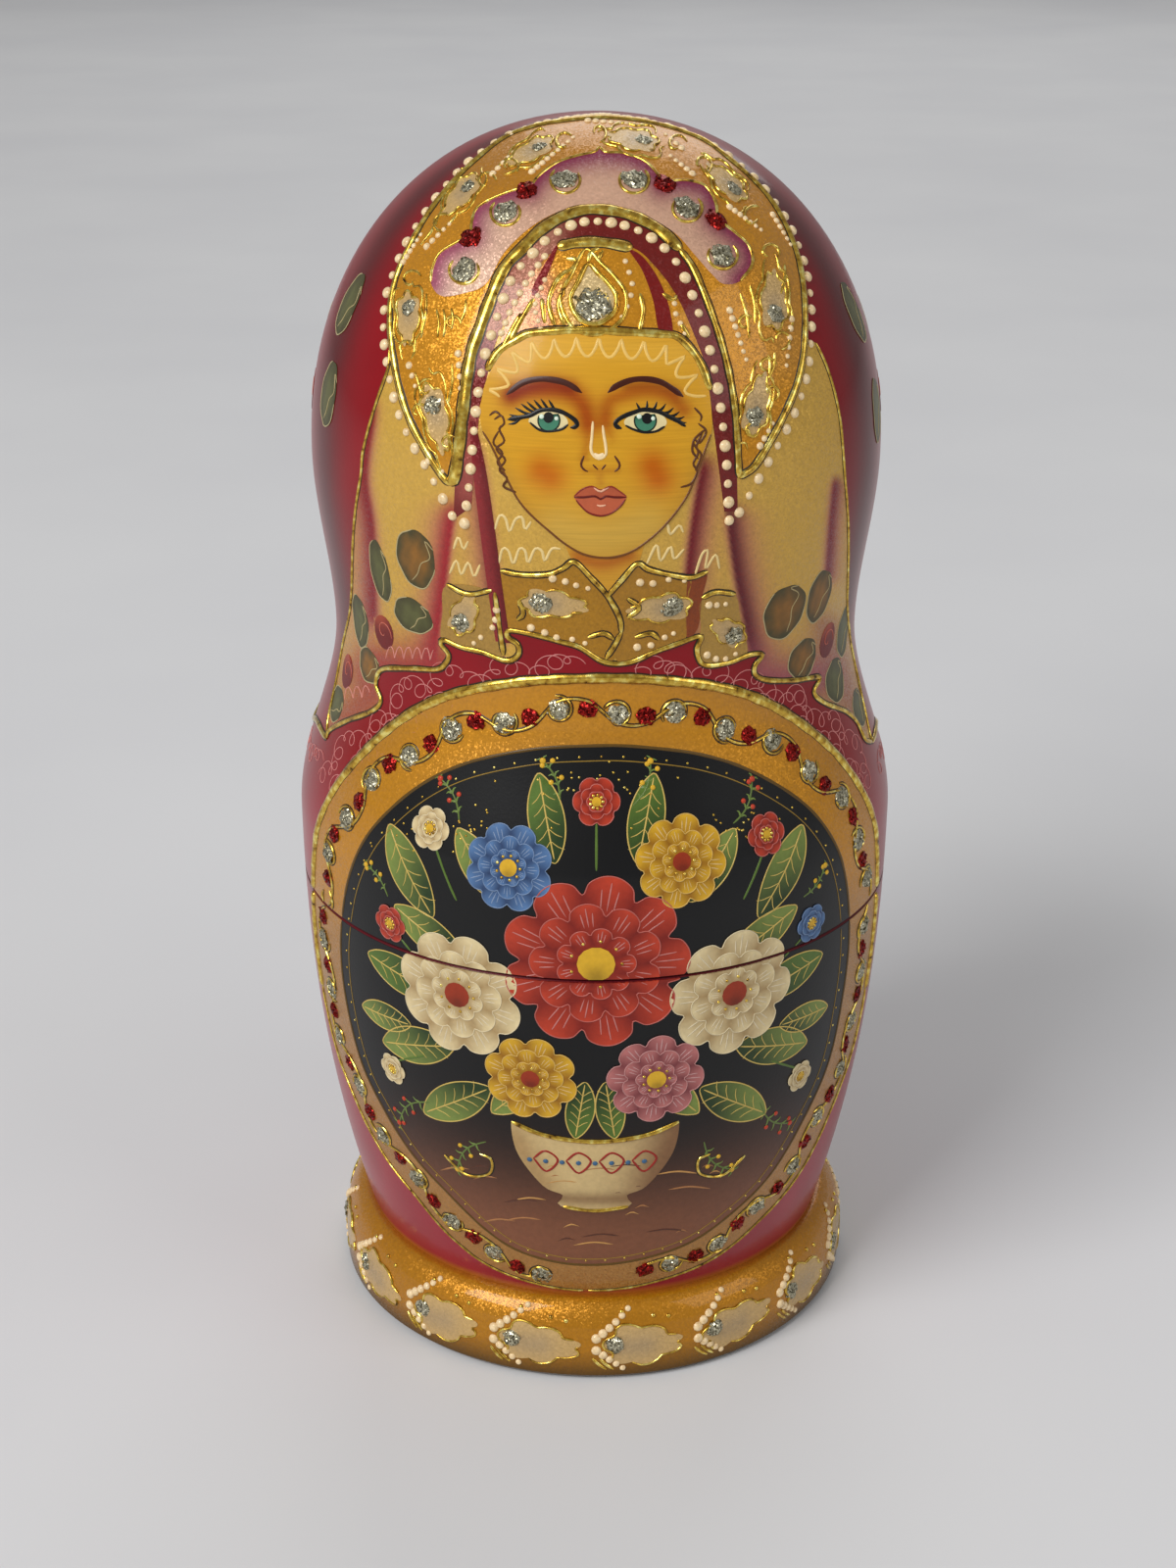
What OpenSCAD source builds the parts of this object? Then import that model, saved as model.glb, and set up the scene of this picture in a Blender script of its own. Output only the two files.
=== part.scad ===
// Seven-piece matryoshka nesting doll, turned in lime wood.
// Every hollow doll is a lower half with a spigot and an upper half with a socket that pushes onto it.
// The seventh doll is solid. Each doll stands on the floor of the one around it.
// Millimetres, +Z up, origin on the axis at the underside of the outer doll, face towards -Y.

/* [Outer shape] */
// Height of the outer doll from table to crown
doll_h = 200; // [185:1:230]
// Diameter of the base flange at its widest line
base_d = 89.5; // [84:0.5:94]
// Height of the base flange, where the body starts
base_h = 14; // [10:0.5:18]
// Height of the flange's widest line above the table
base_edge_h = 6; // [3:0.5:8]
// Chamfer around the underside of the flange
base_chamfer = 1; // [0.4:0.1:2]
// Diameter of the body where it leaves the flange
foot_d = 80.5; // [76:0.5:84]
// Diameter of the body at its widest
belly_d = 99; // [94:0.5:108]
// Height of the widest part of the body
belly_z = 88.5; // [82:0.5:96]
// How late the body narrows towards the foot
belly_fullness = 2.3; // [1.8:0.1:3]
// Diameter of the neck
neck_d = 85; // [80:0.5:90]
// Height of the neck
neck_z = 120.5; // [112:0.5:128]
// Diameter of the head at its widest
head_d = 90.6; // [86:0.2:98]
// Height of the widest part of the head
head_z = 149; // [140:1:158]
// Fullness of the crown, where 2 is an ellipse
crown_fullness = 2.1; // [1.8:0.1:2.6]

/* [Parting joint] */
// Height of the parting line of the outer doll
seam_z = 77.5; // [66:0.5:80]
// Height of the largest spigot
spigot_h = 10; // [6:0.5:14]
// Height of the smallest spigot
spigot_h_last = 4; // [3:0.25:5]
// Thickness of the largest skirt outside its spigot
skirt_t = 2.4; // [1.6:0.1:3]
// Thickness of the smallest skirt outside its spigot
skirt_t_last = 0.65; // [0.5:0.05:0.8]
// Radial clearance between spigot and socket
spigot_gap = 0.08; // [0.05:0.01:0.15]
// Clearance above the end of a spigot
spigot_end_gap = 0.4; // [0.2:0.1:1]
// Chamfer on both sides of the largest parting line
seam_chamfer = 0.35; // [0.2:0.05:0.6]
// Chamfer on both sides of the smallest parting line
seam_chamfer_last = 0.15; // [0.1:0.05:0.25]

/* [Walls] */
// Side wall of the largest doll
wall = 5; // [4.4:0.1:6]
// Side wall of the smallest hollow doll
wall_last = 1.5; // [1.3:0.05:1.9]
// Floor of the largest doll
floor_t = 11; // [7:0.5:14]
// Floor of the smallest hollow doll
floor_t_last = 3.5; // [2.5:0.25:4.5]
// Crown of the largest doll
crown_t = 13; // [8:0.5:16]
// Crown of the smallest hollow doll
crown_t_last = 3.5; // [2.5:0.25:4]

/* [Nesting] */
// Least height of the second doll against the outer one
least_step = 0.74; // [0.7:0.005:0.76]
// Least height of the solid doll against the one around it
last_least_step = 0.7; // [0.66:0.005:0.72]
// Greatest height of the second doll against the outer one
most_step = 0.8; // [0.78:0.005:0.82]
// Greatest height of the solid doll against the one around it
last_most_step = 0.76; // [0.74:0.005:0.78]
// Clearance between a doll and the floor it stands on
stand_gap = 0.02; // [0.01:0.01:0.1]
// Least side clearance around the second doll
nest_gap = 0.8; // [0.5:0.1:1.5]
// Least side clearance around the solid doll
nest_gap_last = 0.4; // [0.3:0.05:0.6]
// Least space above the crown of an inner doll
headroom = 4.5; // [4:0.25:6]

/* [Hidden] */
hollow_count = 6;
curve_steps = 14;
$fn = 96;

shawl_red = "#8e1f33";
skirt_rose = "#a8324c";
solid_red = "#9a2840";

foot_r = foot_d / 2;
belly_r = belly_d / 2;
neck_r = neck_d / 2;
head_r = head_d / 2;
base_r = base_d / 2;

// A size that falls evenly, step by step, from the largest hollow doll to the smallest.
function graded(first, last, i) = first * pow(last / first, i / (hollow_count - 1));
function wall_of(i) = graded(wall, wall_last, i);
function floor_of(i) = graded(floor_t, floor_t_last, i);
function crown_of(i) = graded(crown_t, crown_t_last, i);
function skirt_of(i) = graded(skirt_t, skirt_t_last, i);
function spigot_of(i) = graded(spigot_h, spigot_h_last, i);
function chamfer_of(i) = graded(seam_chamfer, seam_chamfer_last, i);
function gap_of(i) = graded(nest_gap, nest_gap_last, i);
function least_of(i) = graded(least_step, last_least_step, i);
function most_of(i) = graded(most_step, last_most_step, i);
function lost_of(i) = wall_of(i) + gap_of(i);

// Radius of the outer doll's body at height z, from the foot to the neck.
function eased(t) = t * t * (3 - 2 * t);
function body_r(z) =
    z < belly_z ? belly_r - (belly_r - foot_r) * pow((belly_z - z) / (belly_z - base_h), belly_fullness)
    : belly_r + (neck_r - belly_r) * eased((z - belly_z) / (neck_z - belly_z));

// Size of doll i against the outer doll: as large as its flange lets it be in the cavity around it, but no
// less than the least step, where the flange narrows instead. The foot, belly and height fit too.
function size_of(i) = i == 0 ? 1 : fitted(size_of(i - 1), i - 1);
function fitted(outer, i) = min(
    outer * most_of(i),
    max(outer * least_of(i), (foot_r * outer - lost_of(i)) / base_r),
    (foot_r * outer - lost_of(i)) / foot_r,
    (body_r(seam_z) * outer - lost_of(i)) / belly_r,
    (doll_h * outer - floor_of(i) - stand_gap - crown_of(i) - headroom) / doll_h);

// Radii of doll i that the cavity around it can narrow: its flange, and its head, which passes the neck.
function flange_of(i) = i == 0 ? base_r : min(base_r * size_of(i), foot_r * size_of(i - 1) - lost_of(i - 1));
function head_of(i) = i == 0 ? head_r : min(head_r * size_of(i), vault_of(i - 1) - gap_of(i - 1));

// Radius of the cavity in the head of doll i.
function vault_of(i) = min(neck_r * size_of(i), head_of(i)) - wall_of(i);

// Height of the underside of doll i above the table.
function stand_of(i) = i == 0 ? 0 : stand_of(i - 1) + floor_of(i - 1) + stand_gap;

// Outlines, as [radius, height] points.
function span(from, to, steps = curve_steps) = [for (k = [0 : steps]) from + (to - from) * k / steps];
function body_curve(from, to, inset = 0, size = 1) =
    [for (z = span(from, to)) [body_r(z) * size - inset, z * size]];

// The head of doll i, from the neck to its widest part and over the dome to the crown.
function head_curve(i) = let (size = size_of(i), neck = neck_r * size, head = head_of(i)) concat(
    [for (z = span(neck_z, head_z)) [
        neck + (head - neck) * eased((z - neck_z) / (head_z - neck_z)), z * size]],
    [for (a = span(0, 90)) [
        head * pow(cos(a), 2 / crown_fullness),
        (head_z + (doll_h - head_z) * pow(sin(a), 2 / crown_fullness)) * size]]);

// The base flange of doll i, from the underside to the foot of the body.
function base_curve(i) = let (size = size_of(i), flange = flange_of(i), foot = foot_r * size) concat(
    [[flange - base_chamfer * size, 0], [flange, base_chamfer * size]],
    [for (a = span(0, 90)) [
        foot + (flange - foot) * cos(a),
        (base_edge_h + (base_h - base_edge_h) * sin(a)) * size]]);

// The body from height z to the neck, bent at the belly where that lies above z.
function shoulder_curve(z, size) = concat(
    z < belly_z ? body_curve(z, belly_z, 0, size) : [],
    body_curve(max(z, belly_z), neck_z, 0, size));

function reversed(points) = [for (k = [len(points) - 1 : -1 : 0]) points[k]];
function joined(lists) = [for (l = lists) each l];

// Radii at the parting line of doll i: outside, spigot and socket.
function seam_r(i) = body_r(seam_z) * size_of(i);
function spigot_r(i) = seam_r(i) - skirt_of(i) - spigot_gap;
function socket_r(i) = seam_r(i) - skirt_of(i);

// Lower half: base flange, body up to the parting line, spigot, and a cavity that only widens upwards.
// A floor below the foot leaves a short straight wall above it.
function lower_outline(i) = let (
    size = size_of(i), seam = seam_z * size, top = seam + spigot_of(i), c = chamfer_of(i),
    cavity_r = seam_r(i) - wall_of(i), cavity_z = max(base_h, floor_of(i) / size)) joined([
        [[0, 0]],
        base_curve(i),
        body_curve(base_h, seam_z - c / size, 0, size),
        [[seam_r(i) - c, seam], [spigot_r(i), seam], [spigot_r(i), top - c], [spigot_r(i) - c, top]],
        [[cavity_r, top]],
        reversed(body_curve(cavity_z, seam_z, wall_of(i), size)),
        floor_of(i) < base_h * size ? [[foot_r * size - wall_of(i), floor_of(i)]] : [],
        [[0, floor_of(i)]]]);

// Upper half: socket, shoulder, neck, head and crown, over a cavity that only narrows upwards.
// The cavity stays wide up to the head of the doll inside.
function upper_outline(i) = let (
    size = size_of(i), seam = seam_z * size, c = chamfer_of(i),
    socket_top = seam + spigot_of(i) + spigot_end_gap, crown_z = doll_h * size - crown_of(i),
    vault_z = max(neck_z * size, floor_of(i) + stand_gap + head_z * size_of(i + 1))) joined([
        [[socket_r(i), seam], [seam_r(i) - c, seam]],
        shoulder_curve(seam_z + c / size, size),
        head_curve(i),
        [for (a = span(90, 0)) [vault_of(i) * cos(a), vault_z + (crown_z - vault_z) * sin(a)]],
        reversed(body_curve(socket_top / size, neck_z, wall_of(i), size)),
        [[socket_r(i), socket_top]]]);

// The solid doll has the outer shape alone.
function solid_outline(i) = joined([
    [[0, 0]], base_curve(i), shoulder_curve(base_h, size_of(i)), head_curve(i)]);

module turned(points, i) {
    translate([0, 0, stand_of(i)]) rotate_extrude() polygon(points);
}

module upper_half(i) {
    color(shawl_red) turned(upper_outline(i), i);
}

module lower_half(i) {
    color(skirt_rose) turned(lower_outline(i), i);
}

module solid_doll(i) {
    color(solid_red) turned(solid_outline(i), i);
}

for (i = [0 : hollow_count - 1]) {
    upper_half(i);
    lower_half(i);
}
solid_doll(hollow_count);
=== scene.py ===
import math
import bpy
import numpy as np
from mathutils import Matrix, Vector
from mathutils.geometry import delaunay_2d_cdt


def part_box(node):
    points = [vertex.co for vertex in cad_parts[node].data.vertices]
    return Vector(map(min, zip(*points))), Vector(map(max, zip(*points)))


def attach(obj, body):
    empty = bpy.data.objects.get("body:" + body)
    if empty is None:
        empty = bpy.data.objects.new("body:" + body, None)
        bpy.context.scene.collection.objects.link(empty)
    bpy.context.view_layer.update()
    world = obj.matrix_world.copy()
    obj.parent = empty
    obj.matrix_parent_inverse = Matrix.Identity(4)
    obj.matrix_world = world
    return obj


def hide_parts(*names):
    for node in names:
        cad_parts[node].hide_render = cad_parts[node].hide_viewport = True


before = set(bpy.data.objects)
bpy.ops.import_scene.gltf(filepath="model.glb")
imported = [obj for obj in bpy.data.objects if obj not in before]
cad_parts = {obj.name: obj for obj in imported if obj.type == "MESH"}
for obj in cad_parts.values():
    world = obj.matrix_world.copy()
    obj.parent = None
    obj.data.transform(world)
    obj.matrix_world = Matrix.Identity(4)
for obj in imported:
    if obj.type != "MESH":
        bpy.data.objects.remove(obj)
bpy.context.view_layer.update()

MM = 0.001
HOLLOW_DOLLS = 6
rng = np.random.default_rng(11)

# Sizes of the outer doll in millimetres. Heights and the parting line come from the frame.
DOLL_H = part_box("doll_1_upper")[1][2] / MM
SEAM_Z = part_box("doll_1_upper")[0][2] / MM
BASE_R, BASE_CHAMFER, BASE_EDGE_H, BASE_H = 44.75, 1.0, 6.0, 14.0
FOOT_R = 40.25
BELLY_R, BELLY_Z, BELLY_FULLNESS = 49.5, 88.5, 2.3
NECK_R, NECK_Z = 42.5, 120.5
HEAD_R, HEAD_Z, CROWN_FULLNESS = 45.3, 149.0, 2.1
SEAM_GAP = 0.32
STAND_GAP = 0.02

# Sizes of the largest and of the smallest hollow doll, and the spigots' clearances.
WALL, FLOOR, CROWN = (5.0, 1.5), (11.0, 3.5), (13.0, 3.5)
SKIRT, SPIGOT, CHAMFER = (2.4, 0.65), (10.0, 4.0), (0.35, 0.15)
SPIGOT_GAP, SPIGOT_END_GAP = 0.08, 0.4

# Camera that took the view, in millimetres and radians, and its picture in pixels.
CAMERA_BACK, CAMERA_UP = 378.95, 249.47
PITCH, ROLL, YAW = 0.3999, 0.0028, -0.0030
FOCAL_PX, PICTURE_W, PICTURE_H = 2471.76, 1200, 1600
RAY_NEAR, RAY_FAR, RAY_STEP = 280.0, 560.0, 2.0


def rgb(red, green, blue):
    """Linear colour from everyday 0 to 255 values."""
    c = np.array([red, green, blue]) / 255
    return np.where(c <= 0.04045, c / 12.92, ((c + 0.055) / 1.055) ** 2.4)


def eased(t):
    """A share from 0 to 1 that starts and ends gently."""
    t = np.clip(t, 0, 1)
    return t * t * (3 - 2 * t)


def radius(z):
    """Radius of the outer doll at height z."""
    z = np.clip(np.asarray(z, float), 0, DOLL_H)
    flange = FOOT_R + (BASE_R - FOOT_R) * np.sqrt(
        np.clip(1 - (np.maximum(z - BASE_EDGE_H, 0) / (BASE_H - BASE_EDGE_H)) ** 2, 0, 1))
    flange = np.minimum(flange, BASE_R - BASE_CHAMFER + z)
    below = np.clip(BELLY_Z - z, 0, None) / (BELLY_Z - BASE_H)
    low = BELLY_R - (BELLY_R - FOOT_R) * below ** BELLY_FULLNESS
    shoulder = BELLY_R + (NECK_R - BELLY_R) * eased((z - BELLY_Z) / (NECK_Z - BELLY_Z))
    cheek = NECK_R + (HEAD_R - NECK_R) * eased((z - NECK_Z) / (HEAD_Z - NECK_Z))
    rise = np.clip((z - HEAD_Z) / (DOLL_H - HEAD_Z), 0, 1)
    dome = HEAD_R * (1 - rise ** CROWN_FULLNESS) ** (1 / CROWN_FULLNESS)
    stretches = [z < BASE_H, z < BELLY_Z, z < NECK_Z, z < HEAD_Z]
    return np.select(stretches, [flange, low, shoulder, cheek], dome)


# The doll's outline: heights, closer together at the crown, with radii and lengths along it from the table.
OUTLINE_Z = np.concatenate([
    np.linspace(0, 0.98 * DOLL_H, 2000), DOLL_H * (1 - 0.02 * np.linspace(1, 0, 400) ** 2)[1:]])
OUTLINE_R = radius(OUTLINE_Z)
OUTLINE_LENGTH = np.concatenate([[0], np.cumsum(np.hypot(np.diff(OUTLINE_Z), np.diff(OUTLINE_R)))])


def surface(angle, z, lift=0.0):
    """Points at a lift above the outer doll. Angle 0 is the front and grows towards +X."""
    angle, z = np.broadcast_arrays(np.asarray(angle, float), np.asarray(z, float))
    near = 0.02
    below, above = np.clip(z - near, 0, DOLL_H), np.clip(z + near, 0, DOLL_H)
    slope = (radius(above) - radius(below)) / (above - below)
    across = 1 / np.sqrt(1 + slope ** 2)
    r = radius(z) + lift * across
    return np.stack([r * np.sin(angle), -r * np.cos(angle), z - lift * slope * across], -1)


def camera_axes():
    """Right, up and forward directions of the camera."""
    right = np.array([math.cos(YAW), -math.sin(YAW), 0])
    up = np.array([math.sin(YAW) * math.sin(PITCH), math.cos(YAW) * math.sin(PITCH), math.cos(PITCH)])
    forward = np.array([math.sin(YAW) * math.cos(PITCH), math.cos(YAW) * math.cos(PITCH), -math.sin(PITCH)])
    turn_c, turn_s = math.cos(ROLL), math.sin(ROLL)
    return turn_c * right + turn_s * up, turn_c * up - turn_s * right, forward


RIGHT, UP, FORWARD = camera_axes()
EYE = np.array([0, -CAMERA_BACK, CAMERA_UP])


def seen_at(pixels):
    """(angle, z) where the camera's rays through picture pixels meet the doll, or pass it closest."""
    pixels = np.atleast_2d(np.asarray(pixels, float))
    across, down = pixels[:, :1] - PICTURE_W / 2, pixels[:, 1:] - PICTURE_H / 2
    rays = (RIGHT * across - UP * down) / FOCAL_PX + FORWARD

    def outside(t):
        p = EYE + rays[:, None] * t[..., None]
        return np.hypot(p[..., 0], p[..., 1]) - np.interp(p[..., 2], OUTLINE_Z, OUTLINE_R)

    steps = np.arange(RAY_NEAR, RAY_FAR, RAY_STEP)
    gaps = outside(np.broadcast_to(steps, (len(rays), len(steps))))
    hit = (gaps < 0).any(1)
    first = np.where(hit, (gaps < 0).argmax(1), gaps.argmin(1))
    low, high = steps[np.maximum(first - 1, 0)], steps[first]
    for _ in range(16):
        middle = (low + high) / 2
        inside = outside(middle[:, None])[:, 0] < 0
        low, high = np.where(inside, low, middle), np.where(inside, middle, high)
    t = np.where(hit, high, steps[first])
    p = EYE + rays * t[:, None]
    return np.stack([np.arctan2(p[:, 0], -p[:, 1]), np.clip(p[:, 2], 0, DOLL_H - 0.001)], 1)


def pixel_of(points):
    """Picture pixels of points in millimetres."""
    away = points - EYE
    depth = away @ FORWARD
    return np.stack([PICTURE_W / 2 + FOCAL_PX * (away @ RIGHT) / depth,
                     PICTURE_H / 2 - FOCAL_PX * (away @ UP) / depth], -1)


class Photo:
    """Chart whose points are picture pixels."""
    unit = 0.16

    @staticmethod
    def locate(points):
        return seen_at(points)

    @staticmethod
    def of_place(place):
        return pixel_of(surface(place[:, 0], place[:, 1]))


class Round:
    """Chart round the doll: millimetres round the neck's circle, and a measure up the outline."""
    unit = 1.0

    def __init__(self, measure):
        self.measure = measure

    def locate(self, points):
        x, y = np.atleast_2d(np.asarray(points, float)).T
        return np.stack([x / NECK_R, np.interp(y, self.measure, OUTLINE_Z)], 1)

    def of_place(self, place):
        return np.stack([place[:, 0] * NECK_R, np.interp(place[:, 1], OUTLINE_Z, self.measure)], 1)


# Wrap measures height. Skin measures length along the outline, and films are meshed in it.
Wrap, Skin = Round(OUTLINE_Z), Round(OUTLINE_LENGTH)


class Local:
    """Chart that is true to size round one place: units to the right of it and down from it."""

    def __init__(self, place, unit=1.0):
        self.angle, z = place
        self.unit = unit
        self.radius = float(radius(z))
        self.length = np.interp(z, OUTLINE_Z, OUTLINE_LENGTH)

    def locate(self, points):
        x, y = np.atleast_2d(np.asarray(points, float)).T * self.unit
        z = np.interp(self.length - y, OUTLINE_LENGTH, OUTLINE_Z)
        return np.stack([self.angle + x / self.radius, z], 1)

    def of_place(self, place):
        x = (place[:, 0] - self.angle) * self.radius
        y = self.length - np.interp(place[:, 1], OUTLINE_Z, OUTLINE_LENGTH)
        return np.stack([x, y], 1) / self.unit


def on_skin(pixels):
    """Picture pixels as points of the Skin chart."""
    return Skin.of_place(seen_at(pixels))


def divided(loop, longest):
    """A closed loop with straight stretches cut to no more than a length."""
    out = []
    for a, b in zip(loop, np.roll(loop, -1, 0)):
        count = max(1, math.ceil(np.linalg.norm(b - a) / longest))
        out.append(a + (b - a) * (np.arange(count) / count)[:, None])
    return np.vstack(out)


def smooth(points, spacing, closed=False):
    """Points about spacing apart on a smooth curve through the given ones. A doubled point is a corner."""
    p = np.asarray(points, float)
    if closed:
        ring = np.vstack([p[-1:], p, p[:2]])
    else:
        ring = np.vstack([2 * p[:1] - p[1:2], p, 2 * p[-1:] - p[-2:-1]])
    out = []
    for a, b, c, d in zip(ring, ring[1:], ring[2:], ring[3:]):
        count = max(1, math.ceil(np.linalg.norm(c - b) / spacing))
        t = (np.arange(count) / count)[:, None]
        bend, twist = (2 * a - 5 * b + 4 * c - d) / 2, (3 * b - a - 3 * c + d) / 2
        out.append(b + (c - a) / 2 * t + bend * t ** 2 + twist * t ** 3)
    if not closed:
        out.append(p[-1:])
    out = np.vstack(out)
    apart = np.linalg.norm(np.diff(out, axis=0, append=out[:1]), axis=1) > spacing * 0.05
    apart[-1] |= not closed
    return out[apart]


def spaced(points, spacing, closed=False):
    """Points exactly evenly spaced along a smooth curve."""
    fine = smooth(points, spacing / 8, closed)
    if closed:
        fine = np.vstack([fine, fine[:1]])
    along = np.concatenate([[0], np.cumsum(np.linalg.norm(np.diff(fine, axis=0), axis=1))])
    count = max(2, round(along[-1] / spacing) + 1)
    at = np.linspace(0, along[-1], count)
    at = at[:-1] if closed else at
    return np.stack([np.interp(at, along, fine[:, k]) for k in (0, 1)], 1)


def inside(points, loops):
    """Which points lie inside closed loops, by the even-odd rule."""
    odd = np.zeros(len(points), bool)
    for loop in loops:
        x0, y0 = loop.T
        x1, y1 = np.roll(loop, -1, 0).T
        for k in range(len(loop)):
            crosses = (y0[k] > points[:, 1]) != (y1[k] > points[:, 1])
            if crosses.any():
                at = x0[k] + (points[:, 1] - y0[k]) / (y1[k] - y0[k] + 1e-12) * (x1[k] - x0[k])
                odd ^= crosses & (points[:, 0] < at)
    return odd


def line_distance(points, path):
    """Signed distance from points to a polyline, positive on its right, and the place along it."""
    best = np.full(len(points), 1e9)
    side, place = np.zeros(len(points)), np.zeros(len(points))
    for k, (a, b) in enumerate(zip(path[:-1], path[1:])):
        way = b - a
        t = np.clip(((points - a) @ way) / (way @ way), 0, 1)
        off = points - (a + t[:, None] * way)
        d = np.linalg.norm(off, axis=1)
        nearer = d < best
        best[nearer] = d[nearer]
        turn = way[0] * off[:, 1] - way[1] * off[:, 0]
        side[nearer] = np.where(turn >= 0, 1, -1)[nearer]
        place[nearer] = ((k + t) / (len(path) - 1))[nearer]
    return best * side, place


def band_faces(rows, count):
    """Faces between rows of points, where each row is a closed ring of count points."""
    return [(k * count + j, k * count + (j + 1) % count, (k + 1) * count + (j + 1) % count,
             (k + 1) * count + j) for k in range(rows - 1) for j in range(count)]


def fan_faces(start, count, tip):
    """Triangles from a tip to a closed ring of count points that starts at an index."""
    return [(start + j, start + (j + 1) % count, tip) for j in range(count)]


def halves(z):
    """The doll's halves, each with which heights lie on it, clear of the parting line."""
    return ("upper", z > SEAM_Z + SEAM_GAP), ("lower", z < SEAM_Z - SEAM_GAP)


class Layer:
    """Painted geometry of one section of the painting on one half of the doll."""

    def __init__(self):
        self.points, self.faces, self.colours, self.finishes, self.count = [], [], [], [], 0

    def add(self, points, faces, colour, finish):
        self.points.append(points)
        self.colours.append(np.broadcast_to(colour, (len(points), 3)))
        self.faces += [tuple(i + self.count for i in f) for f in faces]
        self.finishes += [finish] * len(faces)
        self.count += len(points)


class Painting:
    """All layers of a doll's painting, at one level of detail."""
    least_side = 0.6
    row_share, rim_share = 0.866, 0.45
    underside = -0.12
    lens = [(-0.5, -0.1), (-0.36, 0.62), (0.0, 1.0), (0.36, 0.62), (0.5, -0.1)]
    dome = [(1.0, -0.12), (0.95, 0.35), (0.68, 0.78), (0.3, 0.97)]

    def __init__(self, coarse):
        self.coarse = coarse
        self.section = ""
        self.chart = Photo
        self.layers = {}

    def layer(self, half):
        return self.layers.setdefault((half, self.section), Layer())

    def film(self, finish, loops, lift, colour, spacing=8.0, tint=None):
        """A thin closed film over the area inside loops of chart points. It is cut at the parting line.

        A colour that is a function takes points of the chart tint, or of the painting's chart.
        """
        chart = self.chart
        spacing *= self.coarse * chart.unit
        side = max(spacing, self.least_side)
        loops = [divided(Skin.of_place(chart.locate(loop)), side) for loop in loops]
        points, edges = [], []
        for loop in loops:
            start = len(points)
            points += list(loop)
            edges += [(start + k, start + (k + 1) % len(loop)) for k in range(len(loop))]
        low, high = np.min(points, 0), np.max(points, 0)
        for z in (SEAM_Z - SEAM_GAP, SEAM_Z + SEAM_GAP):
            level = np.interp(z, OUTLINE_Z, OUTLINE_LENGTH)
            if low[1] < level < high[1]:
                columns = np.arange(low[0] - spacing, high[0] + 2 * spacing, side)
                edges += [(len(points) + k, len(points) + k + 1) for k in range(len(columns) - 1)]
                points += [np.array((x, level)) for x in columns]
        columns = np.arange(low[0], high[0] + spacing, spacing)
        rows = np.arange(low[1], high[1] + spacing, spacing * self.row_share)
        grid = np.stack(np.meshgrid(columns, rows), -1)
        grid[1::2, :, 0] += spacing / 2
        grid = grid.reshape(-1, 2)
        grid = grid[inside(grid, loops)]
        for loop in loops:
            off, _ = line_distance(grid, np.vstack([loop, loop[:1]]))
            grid = grid[np.abs(off) > spacing * self.rim_share]
        points = np.vstack([points, grid]) if len(grid) else np.array(points)
        flat, _, triangles, *_ = delaunay_2d_cdt([Vector(p) for p in points], edges, [], 0, 1e-4)
        flat = np.array([(v[0], v[1]) for v in flat])
        triangles = np.array(triangles)
        kept = inside(flat[triangles].mean(1), loops)
        place = Skin.locate(flat)
        if callable(colour):
            colour = colour((tint or chart).of_place(place))
        colour = np.broadcast_to(colour, (len(flat), 3))
        self.film_halves(finish, flat, place, triangles[kept], lift, colour)

    def film_halves(self, finish, flat, place, triangles, lift, colour):
        """Closes a film's triangles with an underside and a rim, on each half of the doll."""
        for half, chosen in halves(place[:, 1][triangles].mean(1)):
            tris = triangles[chosen]
            if not len(tris):
                continue
            used, tris = np.unique(tris, return_inverse=True)
            tris = tris.reshape(-1, 3)
            a, b, c = (flat[used][tris[:, k]] for k in range(3))
            area = (b[:, 0] - a[:, 0]) * (c[:, 1] - a[:, 1]) - (b[:, 1] - a[:, 1]) * (c[:, 0] - a[:, 0])
            top = surface(place[used, 0], place[used, 1], lift)
            face = np.cross(top[tris[:, 1]] - top[tris[:, 0]], top[tris[:, 2]] - top[tris[:, 0]])
            out = surface(place[used, 0], place[used, 1], lift + 1) - top
            flipped = (face * out[tris[:, 0]]).sum(1) < 0
            tris[flipped] = tris[flipped][:, ::-1]
            tris = tris[np.abs(area) > 1e-6]
            n = len(used)
            pairs = np.vstack([tris[:, [0, 1]], tris[:, [1, 2]], tris[:, [2, 0]]])
            known = {(i, j) for i, j in pairs.tolist()}
            rim = [(i, j) for i, j in known if (j, i) not in known]
            faces = [tuple(t) for t in tris.tolist()]
            faces += [(t[2] + n, t[1] + n, t[0] + n) for t in tris.tolist()]
            faces += [(j, i, i + n, j + n) for i, j in sorted(rim)]
            points = np.vstack([top, surface(place[used, 0], place[used, 1], self.underside)])
            self.layer(half).add(points, faces, np.vstack([colour[used], colour[used]]), finish)

    def stroke(self, finish, path, width, height, colour=(1, 1, 1), lift=0.0, taper=(0.5, 0.5),
               closed=False, step=0.48):
        """A raised line along chart points. Its width, height and step are in millimetres."""
        path = spaced(path, step * self.coarse / self.chart.unit, closed)
        if closed:
            path = np.vstack([path, path[:1]])
        place = self.chart.locate(path)
        for half, held in halves(place[:, 1]):
            breaks = np.flatnonzero(np.diff(held.astype(int))) + 1
            for run in np.split(np.arange(len(place)), breaks):
                if held[run[0]] and len(run) > 1:
                    self.ridge(half, finish, place[run], width, height, colour, lift, taper)

    def gilt(self, path, width, lift):
        """A gold line with a thin dark brown edge on both sides: partly a dark outline, partly painted shadow
        beside the raised gold.
        """
        self.stroke("paint", path, width + 0.36, 0.1, GILT_OUTLINE_AND_SHADOW, lift)
        self.stroke("gold", path, width, 0.2 + 0.16 * width, lift=lift + 0.02)

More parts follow.
